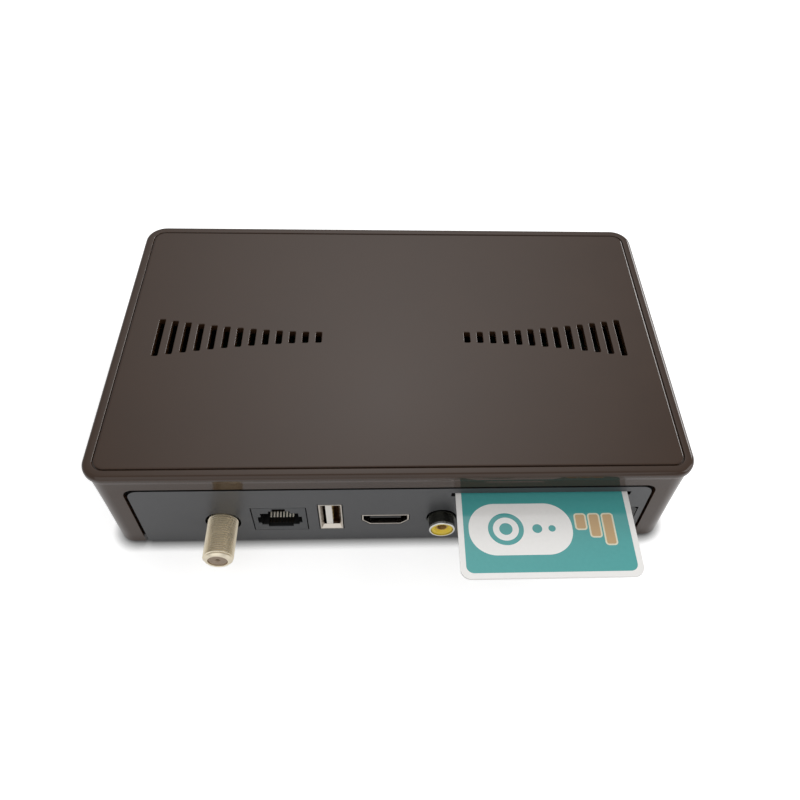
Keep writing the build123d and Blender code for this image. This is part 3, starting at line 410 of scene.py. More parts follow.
def build_track_group():
    """Straight copper tracks in both directions, gathered in patches, as one mask."""
    group = bpy.data.node_groups.new("board_tracks", "ShaderNodeTree")
    group_socket(group, "Vector", "NodeSocketVector", "INPUT")
    group_socket(group, "Mask", "NodeSocketFloat", "OUTPUT")
    inside = group.nodes.new("NodeGroupInput")
    outside = group.nodes.new("NodeGroupOutput")
    track_scale, bare_share, gap_share = 260.0, 0.55, 0.6
    masks = []
    for axis, patch_scale in (("X", 110.0), ("Y", 150.0)):
        lines = group.nodes.new("ShaderNodeTexWave")
        lines.bands_direction = axis
        lines.inputs["Scale"].default_value = track_scale
        patch = group.nodes.new("ShaderNodeTexVoronoi")
        patch.inputs["Scale"].default_value = patch_scale
        group.links.new(inside.outputs["Vector"], lines.inputs["Vector"])
        group.links.new(inside.outputs["Vector"], patch.inputs["Vector"])
        split = group.nodes.new("ShaderNodeSeparateColor")
        group.links.new(patch.outputs["Color"], split.inputs["Color"])
        chosen = math_node(group, "GREATER_THAN", split.outputs["Red"], bare_share)
        line = math_node(group, "GREATER_THAN", lines.outputs["Fac"], gap_share)
        masks.append(math_node(group, "MULTIPLY", chosen, line))
    group.links.new(math_node(group, "MAXIMUM", masks[0], masks[1]), outside.inputs["Mask"])
    return group


def mixed(tree, mask, low_colour, high_colour):
    """A colour that goes from one value to another with a mask."""
    mix = tree.nodes.new("ShaderNodeMix")
    mix.data_type = "RGBA"
    for name, colour in (("A", low_colour), ("B", high_colour)):
        socket = next(item for item in mix.inputs if item.name == name and item.type == "RGBA")
        if isinstance(colour, tuple):
            socket.default_value = (*colour, 1)
        else:
            tree.links.new(colour, socket)
    tree.links.new(mask, mix.inputs["Factor"])
    return next(item for item in mix.outputs if item.type == "RGBA")


circuit_board, tree, shader = new_material("circuit_board")
tracks = tree.nodes.new("ShaderNodeGroup")
tracks.node_tree = build_track_group()
tree.links.new(object_coordinates(tree), tracks.inputs["Vector"])
track_mask = tracks.outputs["Mask"]
mask_green, track_green = (0.006, 0.045, 0.02), (0.02, 0.11, 0.045)
tree.links.new(mixed(tree, track_mask, mask_green, track_green), shader.inputs["Base Color"])
shader.inputs["Roughness"].default_value = 0.35
relief = tree.nodes.new("ShaderNodeBump")
relief.inputs["Distance"].default_value = 0.04 * mm
tree.links.new(track_mask, relief.inputs["Height"])
tree.links.new(relief.outputs["Normal"], shader.inputs["Normal"])
dress(circuit_board, "main_board", "card_reader_board", "front_board")

# ---------------------------------------------------------------- parts on the boards
# The tuner stands in a tinned sheet can by the antenna connector. The processor carries a
# black finned heatsink on a soft pad, with memory, supply parts and the crystal round it.

tinned_steel = skin("tinned_steel", (0.62, 0.61, 0.58), 0.3, grain=2400.0, depth=0.012 * mm, metal=1.0)
chip_black = skin("chip_black", (0.017, 0.017, 0.018), 0.5, grain=5200.0, depth=0.03 * mm)
black_aluminium = skin("black_aluminium", (0.02, 0.02, 0.022), 0.42, grain=3600.0, metal=0.6)
pad_grey = skin("pad_grey", (0.33, 0.34, 0.36), 0.8, grain=1500.0, depth=0.05 * mm)
capacitor_sleeve = skin("capacitor_sleeve", (0.015, 0.02, 0.045), 0.3, grain=2200.0)
choke_grey = skin("choke_grey", (0.11, 0.11, 0.115), 0.6, grain=3000.0, depth=0.05 * mm)
brass = skin("brass", (0.72, 0.52, 0.22), 0.28, grain=2600.0, depth=0.01 * mm, metal=1.0)
gilt_metal = skin("gilt_metal", (0.86, 0.64, 0.3), 0.24, grain=2600.0, depth=0.006 * mm, metal=1.0)
black_plastic = skin("black_plastic", (0.014, 0.014, 0.015), 0.42, grain=3400.0, depth=0.03 * mm)
dress(tinned_steel, "tuner_can", "clock_crystal")
dress(chip_black, "network_transformer", "processor", "memory_chips", "flash_chip")
dress(black_aluminium, "heatsink")
dress(pad_grey, "thermal_pad")
dress(capacitor_sleeve, "capacitors")
dress(choke_grey, "power_chokes")
dress(brass, "board_spacers")
dress(gilt_metal, "board_link_pins", "card_reader_contacts")
dress(black_plastic, "board_link_strips", "card_reader_frame", "front_board_header")
dress(black_plastic, "infrared_receiver", "push_switches")

# ---------------------------------------------------------------- antenna connector
# A turned brass connector plated with warm nickel: a 3/8-32 thread with bevelled ends, a
# neck through the panel and a flange on the board. A plastic core holds the spring contact.

nickel = skin("nickel", (0.88, 0.79, 0.62), 0.33, grain=2600.0, depth=0.01 * mm, patch=260.0, metal=0.88)
antenna_low, antenna_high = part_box("antenna_connector")
core_low, core_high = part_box("antenna_insulator")
antenna_x = (core_low.x + core_high.x) / 2
antenna_z = (core_low.z + core_high.z) / 2
antenna_tip = antenna_high.y
thread_length = 14.84 * mm
thread_pitch = 0.794 * mm
thread_crest = 4.76 * mm
thread_root = 4.28 * mm
neck_radius = 4.0 * mm
core_radius = core_high.x - antenna_x
tip_bevel = 0.9 * mm
root_bevel = 0.7 * mm
flange_depth = 5.0 * mm
flange_bevel = 0.3 * mm
overlap = 0.2 * mm
thread_face = antenna_tip - thread_length
flange_front = antenna_low.y + flange_depth

barrel = thread("threaded_barrel", thread_crest, thread_root, thread_pitch, 0, thread_length, steps=48)
envelope = turned(
    "envelope",
    [(0, 0), (neck_radius, 0), (thread_crest, root_bevel), (thread_crest, thread_length - tip_bevel),
     (thread_crest - tip_bevel, thread_length), (0, thread_length)],
    steps=64,
)
combine(barrel, envelope, "INTERSECT")
neck = turned(
    "neck",
    [(0, flange_front - thread_face - overlap), (neck_radius, flange_front - thread_face - overlap),
     (neck_radius, overlap), (0, overlap)],
    steps=64,
)
combine(barrel, neck, "UNION")
lay_along_y = Matrix.Rotation(-math.pi / 2, 4, "X")
barrel = copies(barrel, [(antenna_x, thread_face, antenna_z)], lay_along_y)
flange = new_block("flange", antenna_low, (antenna_high.x, flange_front, antenna_high.z))
bpy.ops.mesh.select_all(action="SELECT")
bpy.ops.mesh.bevel(offset=flange_bevel, segments=2)
close_solid()
combine(barrel, flange, "UNION")
bore_low, bore_high = antenna_low.y - mm, antenna_tip + mm
bore = turned(
    "bore",
    [(0, bore_low), (core_radius, bore_low), (core_radius, bore_high), (0, bore_high)],
    (antenna_x, 0, antenna_z),
    axis="Y",
)
combine(barrel, bore, "DIFFERENCE")
finish_piece(barrel, "receiver", nickel, "nickel", "antenna_connector")

antenna_core = skin("antenna_core", (0.3, 0.22, 0.15), 0.4, grain=3000.0, depth=0.02 * mm)
contact_radius = 1.3 * mm
contact_hole = 0.6 * mm
contact_depth = 3.0 * mm
hole_bevel = 0.35 * mm
core_step = 0.25 * mm
core = turned(
    "antenna_core",
    [(contact_radius, core_low.y), (core_radius, core_low.y), (core_radius, core_high.y - core_step),
     (core_radius - core_step, core_high.y), (contact_hole + hole_bevel, core_high.y),
     (contact_hole, core_high.y - hole_bevel), (contact_hole, core_high.y - contact_depth),
     (contact_radius, core_high.y - contact_depth)],
    (antenna_x, 0, antenna_z),
    axis="Y",
)
finish_piece(core, "receiver", antenna_core, "antenna_core", "antenna_insulator")
dress(gilt_metal, "antenna_contact")

# ---------------------------------------------------------------- network, data and video sockets
# The network socket is a dark moulded block with eight spring wires; painted shade turns its inside
# black and darkens the wires in front of their bend and behind their root, so only a bright band shows.
# The upright data port and the video socket are folded from bright tinned sheet round plastic tongues,
# with painted shade inside the shells behind the port's mouth.


def paint_depth_shade(material, front, reach, shade_colour, lean=0.0):
    """Paints shade on a finish: its colour falls to a darker shade colour behind a face, which may lean
    back with height.

    A negative reach turns it round: the painted shade then lies in front of the face.
    """
    tree = material.node_tree
    shader = tree.nodes["Principled BSDF"]
    surface_colour = shader.inputs["Base Color"].links[0].from_socket
    split = tree.nodes.new("ShaderNodeSeparateXYZ")
    tree.links.new(object_coordinates(tree), split.inputs["Vector"])
    behind = math_node(tree, "SUBTRACT", front, split.outputs["Y"])
    behind = math_node(tree, "MULTIPLY_ADD", split.outputs["Z"], lean, behind)
    share = math_node(tree, "DIVIDE", behind, reach)
    share.node.use_clamp = True
    tree.links.new(mixed(tree, share, surface_colour, shade_colour), shader.inputs["Base Color"])


socket_grey = skin("socket_grey", (0.062, 0.064, 0.067), 0.5, grain=3000.0, depth=0.03 * mm)
spring_wire = skin("spring_wire", (1.0, 0.94, 0.8), 0.35, grain=2600.0, depth=0.006 * mm, metal=0.3)
white_plastic = skin("white_plastic", (0.82, 0.78, 0.72), 0.4, grain=3000.0, depth=0.02 * mm)
shell_steel = skin("shell_steel", (0.6, 0.55, 0.49), 0.22, grain=2400.0, depth=0.01 * mm, metal=1.0)
socket_edge, socket_fade = 0.1 * mm, 0.3 * mm
wire_bend, wire_bend_fade = 1.9 * mm, 0.2 * mm
wire_root, wire_root_fade = 3.3 * mm, 0.4 * mm
shell_mouth, shell_fade = 1.0 * mm, 1.2 * mm
wire_shade = (0.02, 0.015, 0.01)
socket_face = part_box("network_socket")[1].y
wire_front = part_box("network_contacts")[1].y
port_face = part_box("data_port_shell")[1].y
# Painted shade: the inside of the network socket falls to black, the spring wires fall to a dark colour
# in front of their bend and behind their root, and the tinned shells fall to a dark brown behind the
# port's mouth.
paint_depth_shade(socket_grey, socket_face - socket_edge, socket_fade, (0.006, 0.006, 0.006))
paint_depth_shade(spring_wire, wire_front - wire_bend, -wire_bend_fade, wire_shade)
paint_depth_shade(spring_wire, wire_front - wire_root, wire_root_fade, wire_shade)
paint_depth_shade(shell_steel, port_face - shell_mouth, shell_fade, (0.2, 0.11, 0.07))
dress(socket_grey, "network_socket")
dress(spring_wire, "network_contacts")
dress(gilt_metal, "data_port_contacts")
dress(white_plastic, "data_port_insert")
dress(shell_steel, "data_port_shell", "video_socket_shell")
dress(black_plastic, "video_socket_insert")

# ---------------------------------------------------------------- composite video jack
# A bright plated barrel stands out of a black block on the board. A yellow insulator with
# a coned mouth fills it, round a split centre contact.

bright_plate = {"variation": 0.08, "grain": 2600.0, "depth": 0.004 * mm, "metal": 1.0}
chromed_metal = skin("chromed_metal", (0.72, 0.72, 0.7), 0.12, **bright_plate)
barrel_plate = skin("barrel_plate", (0.75, 0.75, 0.72), 0.16, **bright_plate)
spring_bronze = skin("spring_bronze", (0.55, 0.36, 0.14), 0.4, grain=2600.0, metal=0.4)
yellow_plastic = skin("yellow_plastic", (0.8, 0.58, 0.03), 0.3, grain=2600.0)
jack_low, jack_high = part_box("phono_jack_barrel")
jack_core_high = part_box("phono_jack_insulator")[1]
jack_x = (jack_low.x + jack_high.x) / 2
jack_z = (jack_low.z + jack_high.z) / 2
jack_collar = jack_high.x - jack_x
jack_radius = 4.15 * mm
jack_bore = jack_core_high.x - jack_x
jack_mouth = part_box("phono_jack_contact")[1].x - jack_x
collar_front = 42.48 * mm
jack_round = 0.25 * mm
mouth_cone = 0.7 * mm
lining = 0.25 * mm
barrel_mouth, barrel_fade = 0.7 * mm, 0.3 * mm
jack = turned(
    "jack_barrel",
    [(jack_bore, jack_low.y), (jack_collar, jack_low.y), (jack_collar, collar_front),
     (jack_radius, collar_front),
     *arc((jack_radius - jack_round, jack_high.y - jack_round), jack_round, 0, 90),
     (jack_bore, jack_high.y)],
    (jack_x, 0, jack_z),
    axis="Y",
    steps=64,
)
# Painted shade: the barrel's plating falls to a dark colour inside its mouth.
paint_depth_shade(barrel_plate, jack_high.y - barrel_mouth, barrel_fade, (0.1, 0.1, 0.085))
finish_piece(jack, "receiver", barrel_plate, "chromed_metal", "phono_jack_barrel")
insulator = turned(
    "jack_insulator",
    [(jack_mouth, jack_low.y), (jack_bore, jack_low.y), (jack_bore, jack_core_high.y - lining),
     (jack_bore - lining, jack_core_high.y), (jack_mouth + mouth_cone, jack_core_high.y),
     (jack_mouth, jack_core_high.y - mouth_cone)],
    (jack_x, 0, jack_z),
    axis="Y",
    steps=64,
)
finish_piece(insulator, "receiver", yellow_plastic, "yellow_plastic", "phono_jack_insulator")
dress(spring_bronze, "phono_jack_contact")
dress(chromed_metal, "power_jack_pin")
dress(black_plastic, "phono_jack_body", "power_jack")

# ---------------------------------------------------------------- rear panel
# A separate moulding in matt dark grey plastic, slid into the end of the case. It has an
# opening for each socket, and a flange behind its edge closes the gap round it. Painted shade
# turns the finish black on all that lies behind its face, so the gap reads as a dark line.

panel_grey = (0.06, 0.061, 0.064)
panel_plastic = skin("panel_plastic", panel_grey, 0.38, tint=0.12, grain=2400.0, depth=0.04 * mm)
panel_foot = 41.42 * mm
panel_edge, panel_fade = 0.06 * mm, 0.12 * mm
panel_lean = math.tan(math.radians(1))
# Painted shade: everything behind the panel's leaning face falls to black.
paint_depth_shade(panel_plastic, panel_foot - panel_edge, panel_fade, (0.004, 0.004, 0.004), panel_lean)
dress(panel_plastic, "rear_panel")

# ---------------------------------------------------------------- front panel, display and keys
# The front moulding shares the polished finish of the cover. Behind a smoked window lie the
# display, the infrared receiver and the status light, and three keys press small switches.

smoked_window, tree, shader = new_material("smoked_window")
shader.inputs["Base Color"].default_value = (0.05, 0.05, 0.055, 1)
shader.inputs["Transmission Weight"].default_value = 0.85
ripple = tree.nodes.new("ShaderNodeTexNoise")
ripple.inputs["Scale"].default_value = 40.0
tree.links.new(object_coordinates(tree), ripple.inputs["Vector"])
least_haze, haze_range = 0.03, 0.04
haze = math_node(tree, "MULTIPLY_ADD", ripple.outputs["Fac"], haze_range, least_haze)
tree.links.new(haze, shader.inputs["Roughness"])
dress(smoked_window, "display_window")
dress(skin("display_face", (0.02, 0.024, 0.022), 0.3, grain=1800.0), "display_module")
dress(skin("green_light", (0.12, 0.5, 0.16), 0.25, grain=1800.0), "status_light")
button_plastic = skin("button_plastic", (0.03, 0.028, 0.027), 0.3, grain=3000.0, depth=0.02 * mm)
switch_plunger = skin("switch_plunger", (0.5, 0.5, 0.48), 0.5, grain=3000.0)
dress(button_plastic, "standby_button", "channel_up_button", "channel_down_button")
dress(switch_plunger, "standby_plunger", "channel_up_plunger", "channel_down_plunger")

# ---------------------------------------------------------------- top cover
# One injection moulding in polished brown-black plastic: a raised rim round a flat deck, a
# sunk groove between them, walls that flare to a small cove under the rim, and two fans of
# louvres. It drops over the tray and both end panels, and four screws hold it from below.


def choose(piece, kind, test):
    """Selects only the faces or edges that pass a test."""
    bpy.ops.mesh.select_mode(type=kind)
    bpy.ops.mesh.select_all(action="DESELECT")
    shape = bmesh.from_edit_mesh(piece.data)
    for item in shape.faces if kind == "FACE" else shape.edges:
        if test(item):
            item.select_set(True)
    bmesh.update_edit_mesh(piece.data)


def runs_along(edge, axis):
    """True for an edge that runs along an axis, given by its index."""
    return abs((edge.verts[0].co - edge.verts[1].co).normalized()[axis]) > 0.99


def is_upright(edge):
    """True for an edge that runs along Z."""
    return runs_along(edge, 2)


def faces_up(face):
    """True for a face that looks up."""
    return face.normal.z > 0.99


def faces_down(face):
    """True for a face that looks down."""
    return face.normal.z < -0.99


def step(inset, rise):
    """Carries the chosen flat face inwards and along its normal, leaving one ring behind it."""
    bpy.ops.mesh.inset(thickness=inset, depth=rise)


def curve_step(inset, rise, inset_first=False, count=5):
    """Rings of a quarter curve that ends inset further in and rise further along the normal."""
    turn = math.pi / 2 / count
    for index in range(count):
        near, far = index * turn, (index + 1) * turn
        slow = math.cos(near) - math.cos(far)
        fast = math.sin(far) - math.sin(near)
        across, along = (fast, slow) if inset_first else (slow, fast)
        step(inset * across, rise * along)


def joined(pieces):
    """Several solids as one object."""
    bpy.ops.object.select_all(action="DESELECT")
    for piece in pieces:
        piece.select_set(True)
    bpy.context.view_layer.objects.active = pieces[0]
    bpy.ops.object.join()
    return pieces[0]


cover_low, cover_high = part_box("top_cover")
middle_y = (cover_low.y + cover_high.y) / 2
deck_z = cover_high.z
rim_face = 2.5 * mm
rim_corner = 7.0 * mm
rim_round = 1.3 * mm
rim_lip = 0.25 * mm
rim_land = 1.5 * mm
rim_overhang = 1.1 * mm
groove_width = 0.4 * mm
groove_slope = 0.05 * mm
groove_depth = 0.6 * mm
groove_lip = 0.3 * mm
deck_fall = 0.1 * mm
deck_roll = 0.5 * mm
deck_border = 0.5 * mm
draft_inset = 0.61 * mm
wall = 2.2 * mm
ceiling = 2.4 * mm
foot_edge_round = 0.2 * mm

rim_low = Vector((cover_low.x, cover_low.y, deck_z - rim_face + rim_lip))
rim_high = Vector((cover_high.x, cover_high.y, deck_z - rim_round))
cover = new_block("gloss_cover", rim_low, rim_high)
choose(cover, "EDGE", is_upright)
bpy.ops.mesh.bevel(offset=rim_corner, segments=14)
choose(cover, "FACE", faces_up)
curve_step(rim_round, rim_round, count=7)
step(rim_land, 0)
curve_step(groove_lip, -groove_lip, inset_first=True, count=3)
step(groove_slope, groove_lip - groove_depth)
step(groove_width, 0)
step(0, groove_depth - deck_fall)
curve_step(deck_roll, deck_fall, count=6)
step(deck_border, 0)
choose(cover, "FACE", faces_down)
step(rim_lip / 2, rim_lip)
half_depth = (cover_high.y - cover_low.y) / 2
wall_height = (deck_z - rim_face - cover_low.z - foot_edge_round) / mm
# Rings of the wall from the rim down, in mm: how far each one falls, how far it moves in all
# round, and how much further the end walls move in. The first three make the cove.
wall_rings = [
    (0.3, 0.25, 0.2),
    (0.7, 0.1, 0.25),
    (1.4, 0.05, 0.125),
    (5.0, 0.38, -0.29),
    (5.0, 0.27, -0.18),
    (5.0, 0.175, -0.095),
]
wall_rings.append((wall_height - sum(ring[0] for ring in wall_rings), 0.36, -0.01))
for fall, inset, pull in wall_rings:
    step(inset * mm, fall * mm)
    squeeze = 1 - pull * mm / half_depth
    bpy.ops.transform.resize(value=(1, squeeze, 1), center_override=(0, middle_y, deck_z))
curve_step(foot_edge_round, foot_edge_round, count=2)
step(wall - foot_edge_round, 0)
cavity = deck_z - ceiling - cover_low.z
inner_width = cover_high.x - cover_low.x - 2 * (rim_overhang + draft_inset + wall)
inner_depth = cover_high.y - cover_low.y - 2 * (rim_overhang + draft_inset + wall)
bpy.ops.mesh.extrude_region_move(TRANSFORM_OT_translate={"value": (0, 0, cavity)})
bpy.ops.transform.resize(
    value=(1 + 2 * draft_inset / inner_width, 1 + 2 * draft_inset / inner_depth, 1),
    center_override=(0, middle_y, deck_z - ceiling),
)
close_solid()

louvre_count = 13
louvre_first = 25.2 * mm
louvre_pitch = 4.43 * mm
louvre_width = 2.0 * mm
louvre_short = 4.8 * mm
louvre_growth = 11.9 * mm
louvre_power = 1.65
louvre_y = middle_y + 0.5 * mm
louvre_corner = 0.7 * mm
louvre_edge = 0.25 * mm
clear = 1.0 * mm


def louvre_cutter(x, length):
    """The tool for one louvre, flared where it leaves the deck."""
    half_width = louvre_width / 2 + louvre_edge
    half_length = length / 2 + louvre_edge
    cutter = new_block(
        "louvre_tool",
        (x - half_width, louvre_y - half_length, deck_z),
        (x + half_width, louvre_y + half_length, deck_z + clear),
    )
    choose(cutter, "EDGE", is_upright)
    bpy.ops.mesh.bevel(offset=louvre_corner, segments=4)
    choose(cutter, "FACE", faces_down)
    curve_step(louvre_edge, louvre_edge, inset_first=True, count=3)
    step(0, ceiling + clear)
    close_solid()
    return cutter


louvre_tools = []
for index in range(louvre_count):
    share = index / (louvre_count - 1)
    length = louvre_short + louvre_growth * share**louvre_power
    for side in (-1, 1):
        louvre_tools.append(louvre_cutter(side * (louvre_first + louvre_pitch * index), length))
combine(cover, joined(louvre_tools), "DIFFERENCE")

opening_half = 81.5 * mm
opening_top = 33.3 * mm
opening_corner = 3.4 * mm
opening = new_block(
    "opening_tool",
    (-opening_half, cover_low.y - clear, cover_low.z - 2 * opening_corner),
    (opening_half, cover_high.y + clear, opening_top),
)
choose(opening, "EDGE", lambda edge: runs_along(edge, 1))
bpy.ops.mesh.bevel(offset=opening_corner, segments=8)
close_solid()
combine(cover, opening, "DIFFERENCE")

rib_half = 88.5 * mm
rib_thickness = 1.2 * mm
rib_depth = 3.0 * mm
rib_offset = 14.0 * mm
rib_foot, rib_top = deck_z - ceiling - rib_depth, deck_z - ceiling / 2
for side in (-1, 1):
    rib_back = middle_y + side * rib_offset + rib_thickness / 2
    rib_front = middle_y + side * rib_offset - rib_thickness / 2
    rib = new_block("rib", (-rib_half, rib_front, rib_foot), (rib_half, rib_back, rib_top))
    close_solid()
    combine(cover, rib, "UNION")

boss_radius = 3.0 * mm
bore_radius = 1.45 * mm
boss_foot = 12.0 * mm
bore_depth = 9.0 * mm
boss_top = deck_z - ceiling / 2
bore_foot, bore_top = boss_foot - clear, boss_foot + bore_depth
boss_outline = [(0, boss_foot), (boss_radius, boss_foot), (boss_radius, boss_top), (0, boss_top)]
bore_outline = [(0, bore_foot), (bore_radius, bore_foot), (bore_radius, bore_top), (0, bore_top)]
for screw_place in corner_places("case_screws", head_radius, 0):
    combine(cover, turned("boss", boss_outline, screw_place), "UNION")
    combine(cover, turned("bore", bore_outline, screw_place), "DIFFERENCE")

case_brown = (0.039, 0.019, 0.0095)
gloss_case = skin("gloss_case", case_brown, 0.1, variation=0.06, grain=900.0, depth=0.003 * mm)
dress(gloss_case, "front_panel")
finish_piece(cover, "receiver", gloss_case, "gloss_case", "top_cover")
even_normals = cover.modifiers.new("even_normals", "WEIGHTED_NORMAL")
even_normals.keep_sharp = True
bpy.ops.object.modifier_apply(modifier=even_normals.name)

# ---------------------------------------------------------------- card
# A white laminated card with rounded corners, printed on top in teal inside a white border,
# with plain forms in white and gold. Its gilt contact plate lies flush in the underside.

card_low, card_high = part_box("smart_card")
card_corner = 3.18 * mm
card_rim = 0.08 * mm
border_width = 1.75 * mm
border_corner = 2.3 * mm

card = new_block("printed_card", card_low, card_high)
choose(card, "EDGE", is_upright)
bpy.ops.mesh.bevel(offset=card_corner, segments=12)
choose(card, "FACE", lambda face: abs(face.normal.z) > 0.99)
bpy.ops.mesh.inset(thickness=card_rim)
close_solid()


def build_form_group():
    """A flat form with round ends or corners: a rectangle grown by a radius, as a mask."""
    group = bpy.data.node_groups.new("printed_form", "ShaderNodeTree")
    group_socket(group, "Vector", "NodeSocketVector", "INPUT")
    group_socket(group, "Centre", "NodeSocketVector", "INPUT")
    group_socket(group, "Half size", "NodeSocketVector", "INPUT")
    group_socket(group, "Radius", "NodeSocketFloat", "INPUT")
    group_socket(group, "Mask", "NodeSocketFloat", "OUTPUT")
    inside = group.nodes.new("NodeGroupInput")
    outside = group.nodes.new("NodeGroupOutput")
    vector = inside.outputs["Vector"]
    steps = (
        ("SUBTRACT", inside.outputs["Centre"]),
        ("ABSOLUTE", None),
        ("SUBTRACT", inside.outputs["Half size"]),
        ("MAXIMUM", (0, 0, 0)),
        ("MULTIPLY", (1, 1, 0)),
        ("LENGTH", None),
    )
    for operation, value in steps:
        node = group.nodes.new("ShaderNodeVectorMath")
        node.operation = operation
        group.links.new(vector, node.inputs[0])
        if isinstance(value, tuple):
            node.inputs[1].default_value = value
        elif value is not None:
            group.links.new(value, node.inputs[1])
        vector = node.outputs["Value" if operation == "LENGTH" else "Vector"]
    mask = math_node(group, "LESS_THAN", vector, inside.outputs["Radius"])
    group.links.new(mask, outside.inputs["Mask"])
    return group


form_group = build_form_group()


def form(tree, vector, centre, half_size, radius):
    """The mask of one printed form, with its sizes in millimetres from the card's outer corner."""
    node = tree.nodes.new("ShaderNodeGroup")
    node.node_tree = form_group
    tree.links.new(vector, node.inputs["Vector"])
    node.inputs["Centre"].default_value = (card_high.x - centre[0] * mm, card_high.y - centre[1] * mm, 0)
    node.inputs["Half size"].default_value = (half_size[0] * mm, half_size[1] * mm, 1)
    node.inputs["Radius"].default_value = radius * mm
    return node.outputs["Mask"]


gloss_print, tree, shader = new_material("card_print")
place = object_coordinates(tree)
paper = tree.nodes.new("ShaderNodeTexNoise")
paper.inputs["Scale"].default_value = 900.0
tree.links.new(place, paper.inputs["Vector"])
white = mixed(tree, paper.outputs["Fac"], (0.9, 0.885, 0.86), (0.95, 0.935, 0.91))
teal = mixed(tree, paper.outputs["Fac"], (0.07, 0.36, 0.35), (0.08, 0.39, 0.38))
width, length = ((card_high - card_low) / mm).xy
margin = border_width / mm + border_corner / mm
ground_half = (width / 2 - margin, length / 2 - margin)
ground = form(tree, place, (width / 2, length / 2), ground_half, border_corner / mm)
colour = mixed(tree, ground, white, teal)
# The sizes of the printed forms are in mm, measured from the card's outer corner.
row = 16
field_centre, field_half, field_radius = (19, row), (7.5, 0.5), 8.2
colour = mixed(tree, form(tree, place, field_centre, field_half, field_radius), colour, white)
ring_left = 14.5
ring = [(ring_left, 5.4, teal), (ring_left, 3.9, white), (ring_left, 2.0, teal)]
dots = [(24, 1.5, teal), (28.5, 1.1, teal)]
for left, radius, ink in ring + dots:
    colour = mixed(tree, form(tree, place, (left, row), (0, 0), radius), colour, ink)
bar_left, bar_pitch, bar_foot, bar_half, bar_round = 37.5, 4.2, 20.6, 0.8, 0.6
gold, gold_edge, gold_edge_radius = (0.56, 0.37, 0.18), (0.78, 0.74, 0.55), 1.1
for index, bar_height in enumerate((2.4, 3.7, 5.0)):
    centre = (bar_left + bar_pitch * index, bar_foot - bar_height)
    half_size = (bar_half, bar_height - bar_round)
    for radius, ink in ((gold_edge_radius, gold_edge), (bar_round, gold)):
        colour = mixed(tree, form(tree, place, centre, half_size, radius), colour, ink)
split = tree.nodes.new("ShaderNodeSeparateXYZ")
tree.links.new(place, split.inputs["Vector"])
ink_depth = 0.02 * mm
printed = math_node(tree, "GREATER_THAN", split.outputs["Z"], card_high.z - ink_depth)
tree.links.new(mixed(tree, printed, (0.85, 0.84, 0.81), colour), shader.inputs["Base Color"])
film_roughness, film_range = 0.14, 0.06
gloss = math_node(tree, "MULTIPLY_ADD", paper.outputs["Fac"], film_range, film_roughness)
tree.links.new(gloss, shader.inputs["Roughness"])
shader.inputs["Coat Weight"].default_value = 0.5
finish_piece(card, "card", gloss_print, "card_print", "smart_card")

chip_plate, tree, shader = new_material("contact_plate")
chip_low, chip_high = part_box("card_chip_plate")
chip_split = tree.nodes.new("ShaderNodeSeparateXYZ")
chip_coordinates = object_coordinates(tree, centre=(chip_low + chip_high) / 2)
tree.links.new(chip_coordinates, chip_split.inputs["Vector"])
contact_pitch = 2.54 * mm
column_half = 2.2 * mm
line_half = 0.09 * mm
across = math_node(tree, "ABSOLUTE", chip_split.outputs["X"])
rows = math_node(tree, "PINGPONG", chip_split.outputs["Y"], contact_pitch / 2)
columns = math_node(tree, "ABSOLUTE", math_node(tree, "SUBTRACT", across, column_half))
beside_middle = math_node(tree, "GREATER_THAN", across, column_half)
row_lines = math_node(tree, "MULTIPLY", math_node(tree, "LESS_THAN", rows, line_half), beside_middle)
lines = math_node(tree, "MAXIMUM", row_lines, math_node(tree, "LESS_THAN", columns, line_half))
plate_gold, line_brown = (0.86, 0.64, 0.3), (0.3, 0.2, 0.09)
plate_roughness, line_roughness = 0.22, 0.4
tree.links.new(mixed(tree, lines, plate_gold, line_brown), shader.inputs["Base Color"])
polish = math_node(tree, "MULTIPLY_ADD", lines, line_roughness, plate_roughness)
tree.links.new(polish, shader.inputs["Roughness"])
shader.inputs["Metallic"].default_value = 1.0
dress(chip_plate, "card_chip_plate")

# ---------------------------------------------------------------- floor
# A plain matt white floor with a painted shadow close under the object, from ambient occlusion.
# Only the camera and mirrored rays see it a little lifted, so it runs into the white background
# and adds no light.

floor_width = 6.0
floor_grey = 0.82
painted_shadow_reach = 4 * mm
painted_shadow_fall = 2.5
seen_lift = 0.58
mirrored_lift = 0.25
bpy.ops.object.select_all(action="DESELECT")
bpy.ops.mesh.primitive_plane_add(size=floor_width)
floor = bpy.context.object
floor.name = "floor"
floor_white, tree, shader = new_material("floor_white")
shader.inputs["Roughness"].default_value = 0.9
shader.inputs["Emission Color"].default_value = (1, 1, 1, 1)
# Painted shadow: ambient occlusion darkens the floor's colour and its lift close under the object.
contact = tree.nodes.new("ShaderNodeAmbientOcclusion")
contact.inputs["Distance"].default_value = painted_shadow_reach
shade = math_node(tree, "POWER", contact.outputs["AO"], painted_shadow_fall)
tree.links.new(mixed(tree, shade, (0, 0, 0), (floor_grey,) * 3), shader.inputs["Base Color"])
path = tree.nodes.new("ShaderNodeLightPath")
glossy, through = path.outputs["Is Glossy Ray"], path.outputs["Is Transmission Ray"]
lift = math_node(tree, "MULTIPLY", math_node(tree, "MAXIMUM", glossy, through), mirrored_lift)
seen = math_node(tree, "MULTIPLY", path.outputs["Is Camera Ray"], shade)
lift = math_node(tree, "MULTIPLY_ADD", seen, seen_lift, lift)
tree.links.new(lift, shader.inputs["Emission Strength"])
floor.data.materials.append(floor_white)

# ---------------------------------------------------------------- light
# Soft white light from all round and four large square lamps: a faint narrow one for the
# deck, one beside the object, one past its front corner, and one behind the camera.

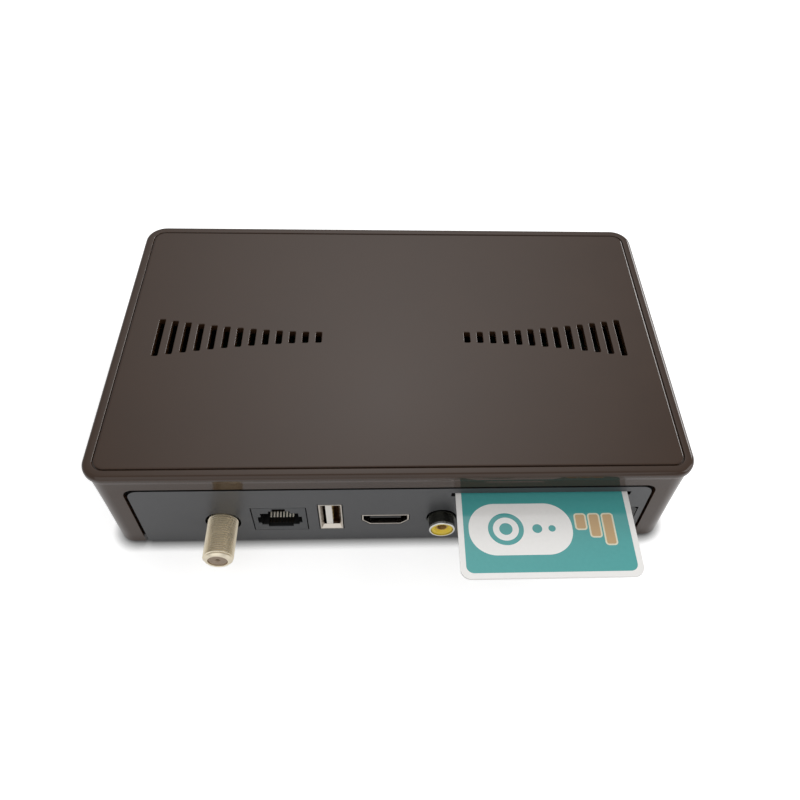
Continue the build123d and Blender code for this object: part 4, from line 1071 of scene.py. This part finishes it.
world_strength = 0.5
world = bpy.data.worlds.new("studio")
bpy.context.scene.world = world
world.use_nodes = True
tree = world.node_tree
background = tree.nodes["Background"]
background.inputs["Color"].default_value = (1, 1, 1, 1)
path = tree.nodes.new("ShaderNodeLightPath")
seen = math_node(tree, "MULTIPLY_ADD", path.outputs["Is Camera Ray"], 1 - world_strength, world_strength)
tree.links.new(seen, background.inputs["Strength"])


def soft_light(name, place, size, power, spread=180):
    """A square lamp turned towards the deck, with its beam narrowed to a spread in degrees."""
    lamp = bpy.data.lights.new(name, "AREA")
    lamp.size = size
    lamp.energy = power
    lamp.spread = math.radians(spread)
    lamp_object = bpy.data.objects.new(name, lamp)
    lamp_object.location = place
    aim = Vector((0, middle_y, deck_z)) - Vector(place)
    lamp_object.rotation_euler = aim.to_track_quat("-Z", "Y").to_euler()
    bpy.context.collection.objects.link(lamp_object)


soft_light("deck_glow", place=(0, -0.78, 1.0), size=1.4, power=0.41, spread=46)
soft_light("right_side", place=(-1.1, 0.2, 0.6), size=0.8, power=3.2)
soft_light("edge_light", place=(-0.95, -0.9, 0.7), size=0.6, power=8.0)
soft_light("front_top", place=(0.2, 0.9, 0.8), size=1.5, power=3.8)

# ---------------------------------------------------------------- camera
# It stands close behind the socket side and looks steeply down on the case, a little turned
# and rolled, with its frame moved off centre.

camera_place = Vector((2.2 * mm, 170.02 * mm, 236.52 * mm))
camera_heading, camera_tilt, camera_roll = 174.86, 39.37, 3.79
camera = bpy.data.objects.new("camera", bpy.data.cameras.new("camera"))
camera.data.lens = 35.3
camera.data.sensor_width = 36.0
camera.data.shift_x = -0.0395
camera.data.shift_y = -0.0118
heading = Matrix.Rotation(math.radians(camera_heading), 4, "Z")
tilt = Matrix.Rotation(math.radians(camera_tilt), 4, "X")
roll = Matrix.Rotation(math.radians(camera_roll), 4, "Z")
camera.matrix_world = Matrix.Translation(camera_place) @ heading @ tilt @ roll
bpy.context.collection.objects.link(camera)
bpy.context.scene.camera = camera
bpy.context.scene.view_settings.view_transform = "Standard"
